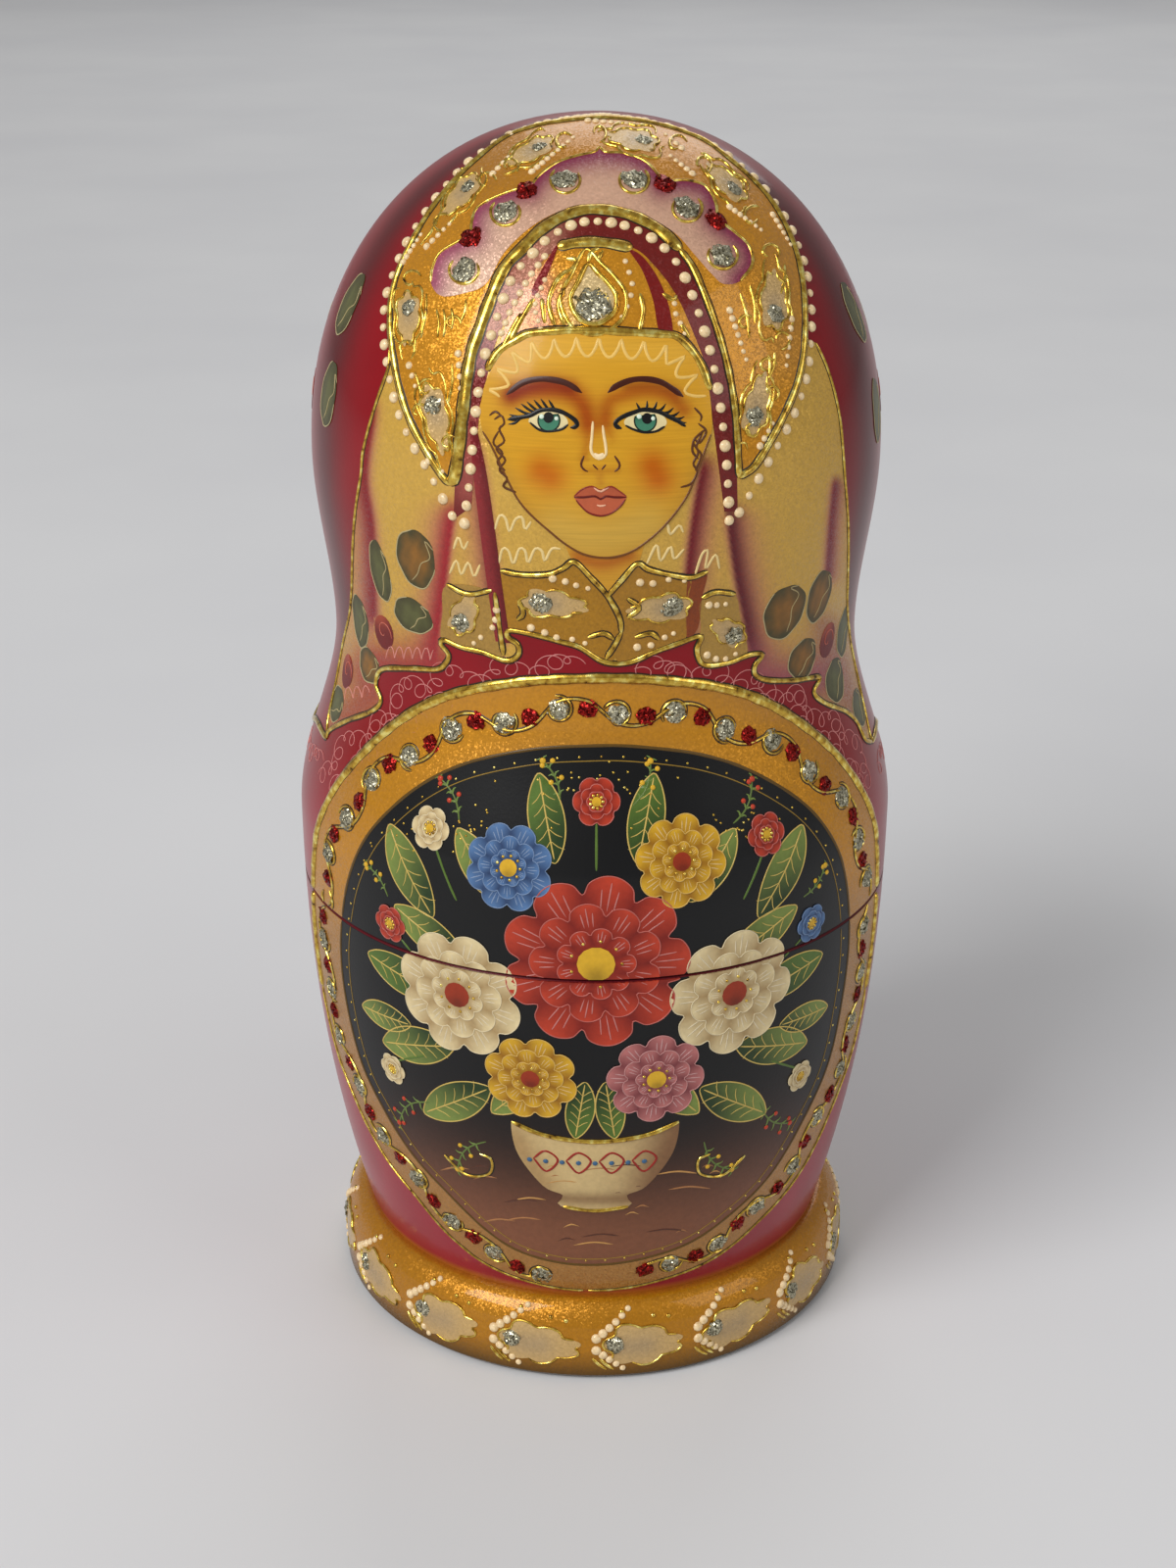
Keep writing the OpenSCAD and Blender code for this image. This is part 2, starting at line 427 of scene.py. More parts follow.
    def ridge(self, half, finish, place, width, height, colour, lift, taper):
        """One unbroken run of a stroke, of lens-shaped section, with tapered ends."""
        centre = surface(place[:, 0], place[:, 1], lift)
        normal = surface(place[:, 0], place[:, 1], lift + 1) - centre
        along = np.gradient(centre, axis=0)
        across = np.cross(along, normal)
        across /= np.linalg.norm(across, axis=1)[:, None] + 1e-9
        n = len(place)
        rise = np.arange(n) * 0.35
        swell = np.minimum(1, np.minimum(taper[0] + rise, taper[1] + rise[::-1]))
        swell = swell * (1 + 0.06 * np.sin(np.arange(n) * 0.55 + n))
        rings = np.stack([
            centre + across * (swell * width * u)[:, None] + normal * (swell * height * v)[:, None]
            for u, v in self.lens], 1)
        m = len(self.lens)
        faces = band_faces(n, m) + [tuple(range(m))[::-1], tuple((n - 1) * m + j for j in range(m))]
        self.layer(half).add(rings.reshape(-1, 3), faces, colour, finish)

    def domes(self, finish, spots, radii, height, colour=(1, 1, 1), lift=0.0, sides=10, jitter=0.0):
        """Round raised dots. Radii in millimetres, height as a share of the radius."""
        spots = np.atleast_2d(np.asarray(spots, float))
        radii = np.broadcast_to(radii, len(spots))
        place = self.chart.locate(spots)
        sides = max(6, int(sides / self.coarse))
        turns = round_turn(sides)
        rings = [(math.cos(t) * u, math.sin(t) * u, v * height) for u, v in self.dome for t in turns]
        dot = np.array(rings + [(0, 0, height)])
        faces = band_faces(len(self.dome), sides) + fan_faces(len(rings) - sides, sides, len(rings))
        faces.append(tuple(range(sides))[::-1])
        for (angle, z), r in zip(place, radii):
            if abs(z - SEAM_Z) < r + SEAM_GAP:
                continue
            centre = surface(angle, z, lift)
            normal = surface(angle, z, lift + 1) - centre
            east = np.array([math.cos(angle), math.sin(angle), 0])
            north = np.cross(normal, east)
            shape = dot * r
            if jitter:
                shape += rng.normal(0, jitter * r, shape.shape)
            points = centre + shape[:, :1] * east + shape[:, 1:2] * north + shape[:, 2:] * normal
            self.layer("upper" if z > SEAM_Z else "lower").add(points, faces, colour, finish)


# Colours as they look on the doll.
CRIMSON, DEEP_RED, DRESS_RED, ROSE_RED = rgb(138, 8, 20), rgb(60, 0, 2), rgb(134, 10, 14), rgb(152, 36, 50)
ORANGE, SHEEN_ORANGE, TAN, CREAM = rgb(204, 138, 24), rgb(178, 118, 32), rgb(204, 168, 108), rgb(208, 164, 68)
PEACH, PURPLE = rgb(210, 166, 138), rgb(130, 34, 72)
SKIN, BLUSH, SHADOW = rgb(211, 154, 37), rgb(190, 92, 2), rgb(160, 66, 4)
INK, IRIS = rgb(12, 10, 10), rgb(66, 128, 100)
OLIVE, RUST, LACE, BLACK = rgb(92, 92, 50), rgb(140, 94, 32), rgb(232, 204, 138), rgb(7, 7, 8)
PALE_PINK, PALE_LACE, GILT_OUTLINE_AND_SHADOW = rgb(214, 140, 128), rgb(206, 126, 122), rgb(44, 32, 12)


def round_turn(count):
    """Angles of a full turn."""
    return np.arange(count) * 2 * math.pi / count


def polar(x, y, distance, angle):
    """Points at distances and angles from (x, y)."""
    return np.stack([x + distance * np.cos(angle), y + distance * np.sin(angle)], -1)


def tilted(x, y, tilt, across, along):
    """Points at distances across and along from (x, y), on axes turned by a tilt."""
    c, s = math.cos(tilt), math.sin(tilt)
    return np.stack([x + c * across - s * along, y + s * across + c * along], -1)


def ellipse(x, y, rx, ry, tilt=0.0, count=28):
    t = round_turn(count)
    return tilted(x, y, tilt, rx * np.cos(t), ry * np.sin(t))


def airbrush(base, passes):
    """A colour function: a base colour under soft strokes.

    A stroke is (path, width or (right, left) widths, colour, strength). A fifth value is the share of its
    path that it fades in over.
    """
    def colour(points):
        out = np.broadcast_to(base, (len(points), 3)).copy()
        for path, width, tint, strength, *fade in passes:
            off, place = line_distance(points, smooth(path, 6.0))
            right, left = np.broadcast_to(width, 2)
            share = strength * np.exp(-(off / np.where(off < 0, right, left)) ** 2)
            if fade:
                share = share * eased(place / fade[0])
            out += share[:, None] * (tint - out)
        return out
    return colour


def directions(path):
    """Unit vectors along a path and to its side, which is the left where the chart's y grows upwards."""
    along = np.gradient(path, axis=0)
    along /= np.linalg.norm(along, axis=1)[:, None]
    return along, np.stack([-along[:, 1], along[:, 0]], 1)


def beside(path, distance):
    """A path moved to its side."""
    return path + directions(path)[1] * np.reshape(distance, (-1, 1))


def scallops(path, pitch, size):
    """Pointed waves hanging to one side of a path."""
    base = spaced(path, pitch / 10)
    return beside(base, size * np.abs(np.sin(np.arange(len(base)) * math.pi / 10)) ** 0.75)


def scribble(path, pitch, size):
    """A loose looping line along a path, no two loops alike."""
    base = spaced(path, pitch / 10)
    along, side = directions(base)
    t = np.arange(len(base)) * 2 * math.pi / 10
    wide = size * (0.7 + 0.3 * np.sin(0.37 * t) + 0.2 * np.sin(0.83 * t + 1))
    drift = size * 0.35 * np.sin(0.23 * t + path[0][0])
    return base + side * (wide * np.cos(t) / 2 + drift)[:, None] + along * (wide * 0.6 * np.sin(t))[:, None]


KOKOSHNIK_OUTER = [(459, 494), (445, 476), (418, 427), (403, 372), (399, 311), (415, 258), (453, 197),
                   (506, 147), (544, 130), (585, 123), (620, 121), (659, 125), (697, 135), (732, 153),
                   (785, 203), (814, 264), (821, 335), (811, 397), (775, 468), (754, 487)]
KOKOSHNIK_INNER = [(754, 487), (749, 413), (736, 350), (711, 282), (694, 255), (673, 235), (644, 220),
                   (612, 214), (585, 217), (556, 232), (532, 255), (512, 279), (490, 335), (478, 377),
                   (466, 476), (459, 494)]
VEIL_LEFT = [(398, 356), (396, 377), (382, 418), (371, 460), (366, 501), (359, 610), (349, 665),
             (337, 725), (334, 753)]
VEIL_RIGHT = [(832, 350), (844, 377), (855, 418), (863, 503), (864, 610), (872, 679), (889, 757)]
HEM = [(334, 753), (337, 745), (355, 735), (379, 726), (389, 715), (384, 698), (390, 683), (420, 682),
       (445, 683), (454, 678), (458, 668), (450, 657), (454, 653), (470, 660), (492, 665), (517, 674),
       (529, 668), (528, 657), (518, 650), (520, 643), (544, 647), (570, 654), (591, 660), (616, 675),
       (641, 676), (668, 665), (690, 657), (715, 649), (711, 663), (718, 678), (743, 676), (764, 668),
       (778, 668), (770, 679), (771, 689), (784, 694), (811, 694), (836, 691), (830, 706), (841, 717),
       (863, 726), (874, 737), (882, 754), (889, 757)]
FACE = [(492, 408), (490, 418), (493, 440), (503, 457), (520, 493), (530, 511), (543, 526), (560, 541),
        (576, 554), (593, 564), (609, 568), (626, 568), (643, 563), (659, 553), (676, 538), (692, 519),
        (704, 499), (719, 459), (725, 443), (726, 428), (722, 393), (712, 373), (702, 355), (691, 344),
        (673, 341), (638, 339), (591, 337), (544, 339), (527, 346), (512, 357), (496, 391)]
JAW = FACE[2:19]
PANEL = [(352, 915), (361, 880), (383, 842), (425, 804), (475, 779), (540, 765), (601, 761), (654, 762),
         (716, 770), (769, 788), (819, 819), (850, 857), (864, 905), (866, 960), (859, 1020), (845, 1084),
         (819, 1143), (786, 1198), (745, 1239), (705, 1267), (660, 1283), (616, 1290), (571, 1288),
         (527, 1275), (494, 1253), (457, 1217), (420, 1176), (390, 1128), (368, 1080), (353, 1017),
         (348, 965)]
# Width of the panel's border in millimetres, and how much narrower it is at the bottom.
BORDER_W, BORDER_LESS = 10.5, 4.2


def around_panel(share):
    """Closed Skin path round the panel, at a share of the way across its border."""
    edge = spaced(on_skin(PANEL), 0.8, True)
    out = directions(np.vstack([edge[-1:], edge, edge[:1]]))[1][1:-1]
    return edge + out * share * (BORDER_W - BORDER_LESS * np.maximum(-out[:, 1:], 0) ** 2)


def paint_veil(p):
    """Cream veil on both sides of the face, with dark red folds and a stepped gold hem."""
    top = [(832, 350), (790, 330), (720, 300), (612, 270), (500, 300), (440, 330), (398, 356)]
    folds = [([(482, 428), (492, 480), (500, 540), (507, 600), (513, 655)], (3, 12), rgb(112, 4, 10)),
             ([(466, 500), (460, 540), (454, 590), (447, 640), (441, 690)], (3, 13), rgb(158, 24, 34)),
             ([(722, 452), (711, 510), (703, 570), (698, 640)], (12, 3), rgb(112, 4, 20)),
             ([(741, 505), (746, 550), (752, 590), (760, 630), (766, 662)], (14, 3), rgb(96, 2, 18)),
             ([(853, 480), (848, 530), (844, 585)], (7, 3), rgb(124, 10, 30)),
             ([(388, 400), (380, 430), (373, 487), (380, 542), (382, 627)], (4, 12), rgb(136, 6, 16))]
    shades = [([(385, 680), (420, 684), (450, 680)], 32, rgb(162, 46, 46), 0.95),
              ([(345, 740), (372, 718), (384, 700)], 30, rgb(158, 58, 50), 0.85),
              ([(772, 690), (800, 694), (836, 690)], 30, rgb(156, 70, 84), 0.95),
              ([(842, 640), (856, 690), (876, 736)], 18, rgb(150, 78, 72), 0.7)]
    pink = rgb(184, 92, 98)
    passes = [(path, np.multiply(widths, 1.9), pink, 0.75, 0.2) for path, widths, _ in folds]
    passes += [(path, widths, tint, 1.0, 0.15) for path, widths, tint in folds]
    passes += shades
    left, hem, right = on_skin(VEIL_LEFT), on_skin(HEM), on_skin(VEIL_RIGHT)
    p.chart = Skin
    outline = np.vstack([smooth(path, 0.9)[:-1] for path in (left, hem, right[::-1], on_skin(top))])
    p.film("pearl", [outline], 0.06, airbrush(CREAM, passes), 0.55, Photo)
    p.gilt(hem, 0.8, 0.06)
    for edge in (left, right):
        p.gilt(edge, 0.5, 0.04)
    p.chart = Photo
    laces = ([(394, 672), (442, 674)], [(352, 714), (378, 712)])
    for lace in laces:
        p.stroke("paint", scallops(lace, 9, -13), 0.2, 0.08, PALE_PINK, lift=0.06)


def paint_lining(p):
    """Dark red lining that carries the pearls between the kokoshnik and the face."""
    inner = [(739, 522), (727, 430), (722, 395), (712, 370), (699, 335), (680, 296), (655, 262),
             (630, 250), (605, 247), (575, 254), (545, 280), (521, 318), (506, 350), (497, 385),
             (491, 410), (484, 480), (481, 522)]
    outer = [(463, 530)] + KOKOSHNIK_INNER[-2:0:-1] + [(752, 500), (752, 526)]
    loop = np.vstack([smooth(outer, 6)[:-1], smooth(inner, 6)[:-1]])
    p.film("pearl", [loop], 0.10, airbrush(rgb(112, 22, 16), [
        ([(480, 440), (478, 500)], 14, rgb(170, 84, 72), 0.7),
        ([(505, 330), (560, 240)], 16, rgb(186, 130, 104), 0.7)]), 5)


def paint_forehead(p):
    """Jewelled band over the forehead."""
    band = smooth([(499, 377), (509, 356), (520, 322), (545, 278), (570, 254), (605, 247), (645, 253),
                   (668, 272), (690, 302), (708, 342), (720, 376), (705, 362), (691, 350), (638, 346),
                   (544, 346), (522, 356)], 6, True)
    p.film("bronze", [band], 0.13, airbrush(ORANGE, [
        ([(515, 345), (545, 285)], 17, rgb(196, 140, 116), 0.85),
        ([(548, 340), (560, 300)], 12, rgb(176, 104, 84), 0.7),
        ([(588, 330), (586, 300)], 14, rgb(216, 180, 118), 0.7)]), 4)
    wedges = ([(642, 256), (655, 262), (671, 284), (682, 312), (686, 343), (673, 340), (666, 306),
               (655, 276)],
              [(570, 249), (556, 270), (543, 296), (546, 302), (560, 278)])
    for wedge in wedges:
        p.film("pearl", [smooth(wedge, 4, True)], 0.18, rgb(122, 16, 12), 6)
    top_edge = [(569, 252), (590, 248), (616, 248), (645, 253)]
    low_edge = [(497, 378), (509, 359), (527, 347), (544, 340), (591, 337), (638, 339), (673, 341),
                (691, 344), (706, 358), (717, 376), (724, 398)]
    p.gilt(top_edge, 1.7, 0.12)
    p.gilt(low_edge, 1.2, 0.14)
    pear = [(600, 270), (611, 280), (621, 290), (629, 303), (626, 320), (609, 331), (591, 326),
            (582, 306), (590, 288)]
    p.film("pearl", [smooth(pear, 4, True)], 0.18, rgb(206, 178, 124), 6)
    p.stroke("gold", pear, 0.8, 0.4, lift=0.18, closed=True)
    middle = np.array((606, 306))
    p.stroke("gold", middle + (pear - middle) * 1.42, 0.7, 0.34, lift=0.14, closed=True)
    p.domes("silver", [(604, 311)], 2.6, 0.24, lift=0.18, sides=20, jitter=0.1)
    curls = ([(566, 332), (560, 308), (570, 284), (585, 274), (588, 266), (578, 264)],
             [(576, 332), (570, 312), (576, 294)], [(652, 338), (656, 318), (653, 300)],
             [(556, 330), (553, 305)], [(600, 268), (603, 258), (611, 254)], [(615, 256), (610, 266)],
             [(520, 350), (530, 330), (545, 305)], [(512, 358), (520, 342), (532, 320)],
             [(676, 300), (686, 306), (690, 302)], [(694, 330), (703, 345)])
    for curl in curls:
        p.stroke("gold", curl, 0.8, 0.34, lift=0.14)
    bead_rows = (([(638, 267), (645, 290), (643, 304), (635, 324)], 11, 0.42, 0.7),
                 ([(688, 310), (689, 320), (699, 340)], 10, 0.42, 0.7),
                 ([(512, 340), (522, 316), (540, 284), (556, 262)], 11, 0.55, 0.6),
                 ([(552, 336), (546, 312), (556, 286)], 9, 0.4, 0.6))
    for path, pitch, size, height in bead_rows:
        p.domes("white", spaced(path, pitch), size, height, lift=0.13)


def blotch(p, x, y, tilt, length, width, silver=True, lift=0.10, halo=False):
    """A cream cloud-shaped patch, half outlined in gold, with a glitter spot at its thick end."""
    t = round_turn(48)
    lobes = 0.84 + 0.24 * np.abs(np.sin(3.5 * t + 0.5)) + 0.05 * np.cos(2 * t + x)
    along = np.cos(t) * length / 2 * lobes
    across = np.sin(t) * width / 2 * lobes * (1 - 0.3 * np.cos(t))
    loop = tilted(x, y, tilt, along, across)
    thick_end = [polar(x, y, -length / 4, tilt), (x, y)]
    p.film("pearl", [loop], lift + 0.04, airbrush(TAN, [
        (thick_end, width / 3, rgb(170, 146, 112), 0.7)]), 1.15 / p.chart.unit)
    p.stroke("gold", loop[4:30], 0.42, 0.24, lift=lift + 0.03)
    p.stroke("gold", loop[np.r_[33:48, 0]], 0.34, 0.2, lift=lift + 0.03)
    if halo:
        wide = (x, y) + (loop - (x, y)) * (1.28, 1.5)
        p.stroke("gold", wide[2:20], 0.42, 0.24, lift=lift - 0.01)
        p.stroke("gold", wide[25:45], 0.42, 0.24, lift=lift - 0.01)
    if silver:
        at = polar(x, y, -length * 0.22, tilt)
        size = min(1.9, width * p.chart.unit * 0.36)
        p.domes("silver", [at], size, 0.24, lift=lift + 0.03, sides=16, jitter=0.1)


def paint_kokoshnik(p):
    """Orange-gold head-dress with a peach scalloped field, glitter and rows of small beads."""
    loop = np.vstack([smooth(KOKOSHNIK_OUTER, 7)[:-1], smooth(KOKOSHNIK_INNER, 7)[:-1]])
    # Along the top of the head-dress the orange is painted paler and duller: a painted sheen from the light
    # above.
    p.film("bronze", [loop], 0.10, airbrush(ORANGE, [
        ([(480, 180), (612, 138), (740, 175)], 34, SHEEN_ORANGE, 0.6),
        ([(800, 260), (800, 360)], 26, rgb(196, 138, 56), 0.7)]), 7)
    rim = [(440, 288), (442, 273), (450, 258), (468, 247), (481, 241), (481, 241), (482, 226), (487, 213),
           (503, 203), (527, 194), (541, 193), (541, 193), (550, 180), (568, 167), (588, 160), (606, 156),
           (612, 151), (618, 156), (635, 157), (656, 164), (669, 176), (676, 188), (676, 188), (688, 185),
           (703, 185), (720, 191), (730, 208), (731, 224), (731, 224), (750, 238), (764, 252), (767, 270),
           (755, 287)]
    below = [(738, 290), (726, 280), (710, 262), (688, 238), (654, 219), (612, 210), (580, 213),
             (545, 230), (515, 258), (496, 290), (472, 300), (450, 302)]
    top = smooth(rim, 5)

    def field_colour(points):
        off, _ = line_distance(points, top)
        close = np.exp(-(np.abs(off) / 18) ** 2)[:, None]
        # The peach field and its purple edge are painted lighter towards the left: a painted highlight on the
        # side the light comes from.
        lit = eased((560 - points[:, 0]) / 120)[:, None]
        inner = PEACH + lit * (rgb(226, 190, 166) - PEACH)
        edge = PURPLE + lit * 0.35 * (rgb(200, 110, 140) - PURPLE)
        return inner * (1 - close) + edge * close
    p.film("pearl", [smooth(rim + below, 5, True)], 0.15, field_colour, 5)
    p.stroke("gold", rim, 0.5, 0.24, lift=0.14)
    p.gilt(KOKOSHNIK_OUTER, 1.15, 0.10)
    p.gilt(KOKOSHNIK_INNER[:5], 1.0, 0.12)
    p.gilt(KOKOSHNIK_INNER[4:], 1.9, 0.12)
    silver = [(474, 276), (516, 217), (577, 184), (647, 184), (701, 213), (737, 261)]
    turn = np.linspace(-0.5, 3.9, 12)
    for (x, y), way in zip(silver, (1, 1, 1, -1, -1, -1)):
        hook = np.stack([x + way * 15 * np.cos(turn), y + 14 * np.sin(turn)], 1)
        p.stroke("gold", hook, 0.5, 0.26, lift=0.15)
    p.domes("silver", silver, 1.9, 0.24, lift=0.15, sides=18, jitter=0.1)
    red = [(481, 243), (538, 195), (678, 189), (730, 225)]
    p.domes("red", red, 1.7, 0.26, lift=0.15, sides=18, jitter=0.1)
    blotches = ((470, 200, -0.9, 46, 18), (540, 156, -0.5, 46, 17), (645, 143, 0.12, 48, 18),
                (740, 186, 0.7, 46, 18), (417, 326, -1.5, 50, 19), (446, 428, -1.8, 62, 22),
                (789, 306, 1.5, 56, 22), (772, 412, 1.75, 56, 22))
    for x, y, tilt, length, width in blotches:
        blotch(p, x, y, tilt + math.pi, 1.12 * length, 1.15 * width, lift=0.13, halo=True)
    bead_rows = ((543, 176, 585, 141, 9), (503, 178, 524, 156, 5), (706, 178, 684, 160, 5),
                 (695, 152, 679, 138, 4), (744, 212, 776, 235, 7), (744, 317, 761, 367, 7),
                 (807, 326, 802, 373, 6), (436, 252, 459, 229, 5), (418, 373, 424, 394, 3),
                 (468, 361, 471, 408, 5), (438, 470, 452, 481, 3), (775, 455, 788, 432, 4),
                 (600, 124, 655, 128, 8), (412, 268, 430, 240, 6), (788, 220, 806, 250, 6))
    for x0, y0, x1, y1, n in bead_rows:
        row = np.linspace((x0, y0), (x1, y1), n)
        p.domes("white", row, np.linspace(0.58, 0.34, n), 0.7, lift=0.12)
    curl = np.linspace(0.3, 5.0, 12)
    curls = ((452, 230, 12, 0.4), (496, 186, 11, 1.2), (520, 170, 10, 2.0), (575, 146, 11, 0.6),
             (610, 136, 10, 2.6), (690, 148, 11, 1.0), (716, 168, 11, 2.2), (768, 222, 12, 0.2),
             (784, 258, 11, 1.6), (420, 286, 11, 0.9), (414, 356, 11, 2.0), (436, 396, 10, 0.3),
             (428, 420, 10, 1.6), (458, 452, 9, 0.8), (796, 346, 11, 2.8), (782, 374, 10, 1.1),
             (768, 440, 10, 0.5), (786, 400, 9, 2.4), (462, 330, 9, 1.4), (760, 330, 9, 0.6))
    for x, y, size, turn in curls:
        spiral = polar(x, y, size * (0.35 + 0.13 * curl), curl + turn)
        p.stroke("gold", spiral, 0.5, 0.26, lift=0.12)
    dashes = ((446, 316, 447, 344), (453, 316, 453, 344), (461, 315, 461, 336), (470, 330, 476, 306),
              (436, 300, 430, 345), (755, 300, 764, 345), (765, 292, 770, 330), (800, 270, 796, 300),
              (430, 250, 446, 226), (424, 380, 430, 410), (462, 372, 458, 410), (790, 360, 784, 386))
    for x0, y0, x1, y1 in dashes:
        p.stroke("gold", [(x0, y0), ((x0 + x1) / 2 + 2, (y0 + y1) / 2), (x1, y1)], 0.5, 0.26, lift=0.12)


def paint_pearls(p):
    """Two rows of pearls, inside and outside the kokoshnik."""
    p.chart = Skin
    strings = (([(758, 528)] + KOKOSHNIK_INNER[1:-1] + [(460, 530)], 2.2, 0.76, 0.12),
               ([(470, 522)] + KOKOSHNIK_OUTER[1:-1] + [(746, 518)], 1.5, 0.74, 0.05))
    for path, out, size, lift in strings:
        row = spaced(beside(spaced(on_skin(path), 0.5), out), 2.75)
        uneven = 1 + 0.19 * np.sin(np.arange(len(row)) * 2.1)
        p.domes("white", row, size * uneven, 0.62, lift=lift, sides=14)


def paint_face(p):
    """The doll's face: warm skin with airbrushed cheeks and eye shadow, then line work."""
    red_shadow = rgb(130, 34, 6)
    left_lid = [(522, 404), (536, 399), (560, 398), (580, 401), (594, 412), (600, 432)]
    right_lid = [(616, 430), (622, 410), (640, 402), (662, 399), (684, 405), (697, 418)]
    passes = [(left_lid, 13, SHADOW, 0.92),
              ([(522, 403), (540, 395), (562, 392), (582, 396)], 8, red_shadow, 0.9),
              (right_lid, 10, SHADOW, 0.75),
              ([(640, 394), (668, 393), (690, 402)], 6, red_shadow, 0.55),
              ([(600, 420), (601, 445), (597, 468)], (3, 6), SHADOW, 0.5),
              ([(618, 425), (621, 445)], (7, 3), SHADOW, 0.4),
              ([(553, 480), (562, 486)], 17, BLUSH, 0.85), ([(666, 476), (671, 488)], 18, BLUSH, 0.95),
              ([(596, 480), (630, 480)], 4, rgb(170, 100, 20), 0.5),
              ([(612, 484), (613, 494)], 4, rgb(176, 108, 30), 0.5), (JAW, 10, rgb(180, 128, 40), 0.5),
              ([(570, 540), (612, 548), (660, 536)], 26, rgb(202, 162, 70), 0.8),
              ([(530, 362), (600, 352), (690, 360)], 14, rgb(222, 170, 60), 0.6)]
    p.film("skin", [smooth(FACE, 5, True)], 0.20, airbrush(SKIN, passes), 4)
    neck = smooth([(577, 552), (600, 562), (620, 564), (645, 559), (657, 552), (650, 577), (634, 592),
                   (618, 605), (600, 589), (586, 575)], 5, True)
    p.film("skin", [neck], 0.12, airbrush(rgb(206, 150, 46), [
        ([(590, 568), (615, 574), (642, 566)], 9, rgb(164, 74, 16), 0.75)]), 5)
    p.stroke("paint", JAW, 0.34, 0.1, rgb(112, 66, 22), lift=0.2)
    middle = [(586, 507), (596, 507), (607, 506), (613, 509), (618, 506), (627, 507), (639, 507)]
    upper = [(632, 501), (623, 496), (613, 500), (604, 496), (594, 499)]
    lower = [(632, 517), (623, 523), (613, 525), (601, 522), (593, 515)]
    lips = ((upper, rgb(178, 84, 52)), (lower, rgb(190, 92, 58)))
    for lip, tone in lips:
        p.film("paint", [smooth(middle + lip, 3, True)], 0.25, tone, 5)
    p.stroke("paint", middle, 0.32, 0.14, rgb(96, 16, 10), 0.24)
    low_edge = [(588, 510), (593, 516), (601, 523), (613, 526), (624, 523), (633, 516), (638, 509)]
    top_edge = [(586, 506), (594, 499), (604, 496), (613, 500), (623, 496), (632, 501), (639, 506)]
    p.stroke("paint", low_edge, 0.28, 0.12, rgb(122, 30, 20), 0.24)
    p.stroke("paint", top_edge, 0.22, 0.1, rgb(140, 44, 30), 0.24)
    shines = ([(606, 497), (610, 500), (613, 501), (617, 499), (621, 497)],
              [(609, 515), (613, 516), (618, 515)])
    for shine in shines:
        p.stroke("paint", shine, 0.34, 0.1, rgb(240, 184, 150), 0.27)
    nose = [(605, 430), (604, 446), (603, 458), (606, 465), (612, 468), (618, 464), (618, 455),
            (616, 443), (615, 434)]
    nose_tip = [(606, 463), (611, 466), (616, 463)]
    p.stroke("paint", nose, 0.42, 0.12, rgb(244, 214, 158), 0.2)
    p.stroke("paint", nose_tip, 0.8, 0.14, rgb(248, 222, 176), 0.2)
    creases = ([(596, 465), (593, 474), (596, 479), (600, 481)],
               [(627, 465), (632, 473), (631, 478), (627, 481)], [(605, 474), (610, 479)],
               [(618, 474), (614, 479)])
    for line in creases:
        p.stroke("paint", line, 0.34, 0.1, rgb(86, 38, 12), 0.2)
    paint_eyes(p)
    paint_hair(p)


EYES = [dict(white=[(540, 428), (546, 421), (558, 419), (571, 421), (579, 428), (579, 434), (573, 438),
                    (560, 440), (548, 437), (541, 432)],
             iris=(560.4, 429), pupil=(560, 426), shine=[(553, 425), (568, 427)],
             lid=[(519, 428), (530, 426), (541, 424), (551, 419), (563, 418), (575, 421), (586, 428),
                  (589, 433), (586, 436), (582, 436)],
             low=[(541, 431), (550, 438), (560, 440), (573, 438), (580, 433)],
             lashes=[(531, 427, 519, 433), (534, 426, 518, 428), (538, 425, 520, 423),
                     (542, 423, 526, 416), (546, 421, 532, 412), (550, 420, 538, 410),
                     (555, 419, 545, 408), (560, 418, 552, 407), (566, 418, 560, 408)],
             brow=[(517, 403), (533, 391), (550, 387), (566, 388), (580, 392), (594, 401)]),
        dict(white=[(637, 429), (643, 424), (654, 420), (666, 421), (676, 424), (680, 430), (678, 435),
                    (669, 440), (657, 441), (646, 438), (638, 434)],
             iris=(658.2, 429.3), pupil=(660, 427), shine=[(652, 425), (666, 427)],
             lid=[(634, 437), (629, 435), (628, 431), (634, 426), (646, 421), (657, 418), (671, 420),
                  (682, 425), (692, 430), (699, 435)],
             low=[(638, 434), (646, 438), (657, 441), (669, 440), (678, 435)],
             lashes=[(653, 419, 649, 411), (658, 418, 660, 409), (664, 419, 670, 410),
                     (669, 420, 679, 412), (675, 422, 687, 416), (680, 425, 693, 420),
                     (685, 427, 698, 425), (689, 429, 700, 431)],
             brow=[(620, 401), (629, 394), (644, 388), (659, 387), (674, 390), (686, 397), (697, 405)])]


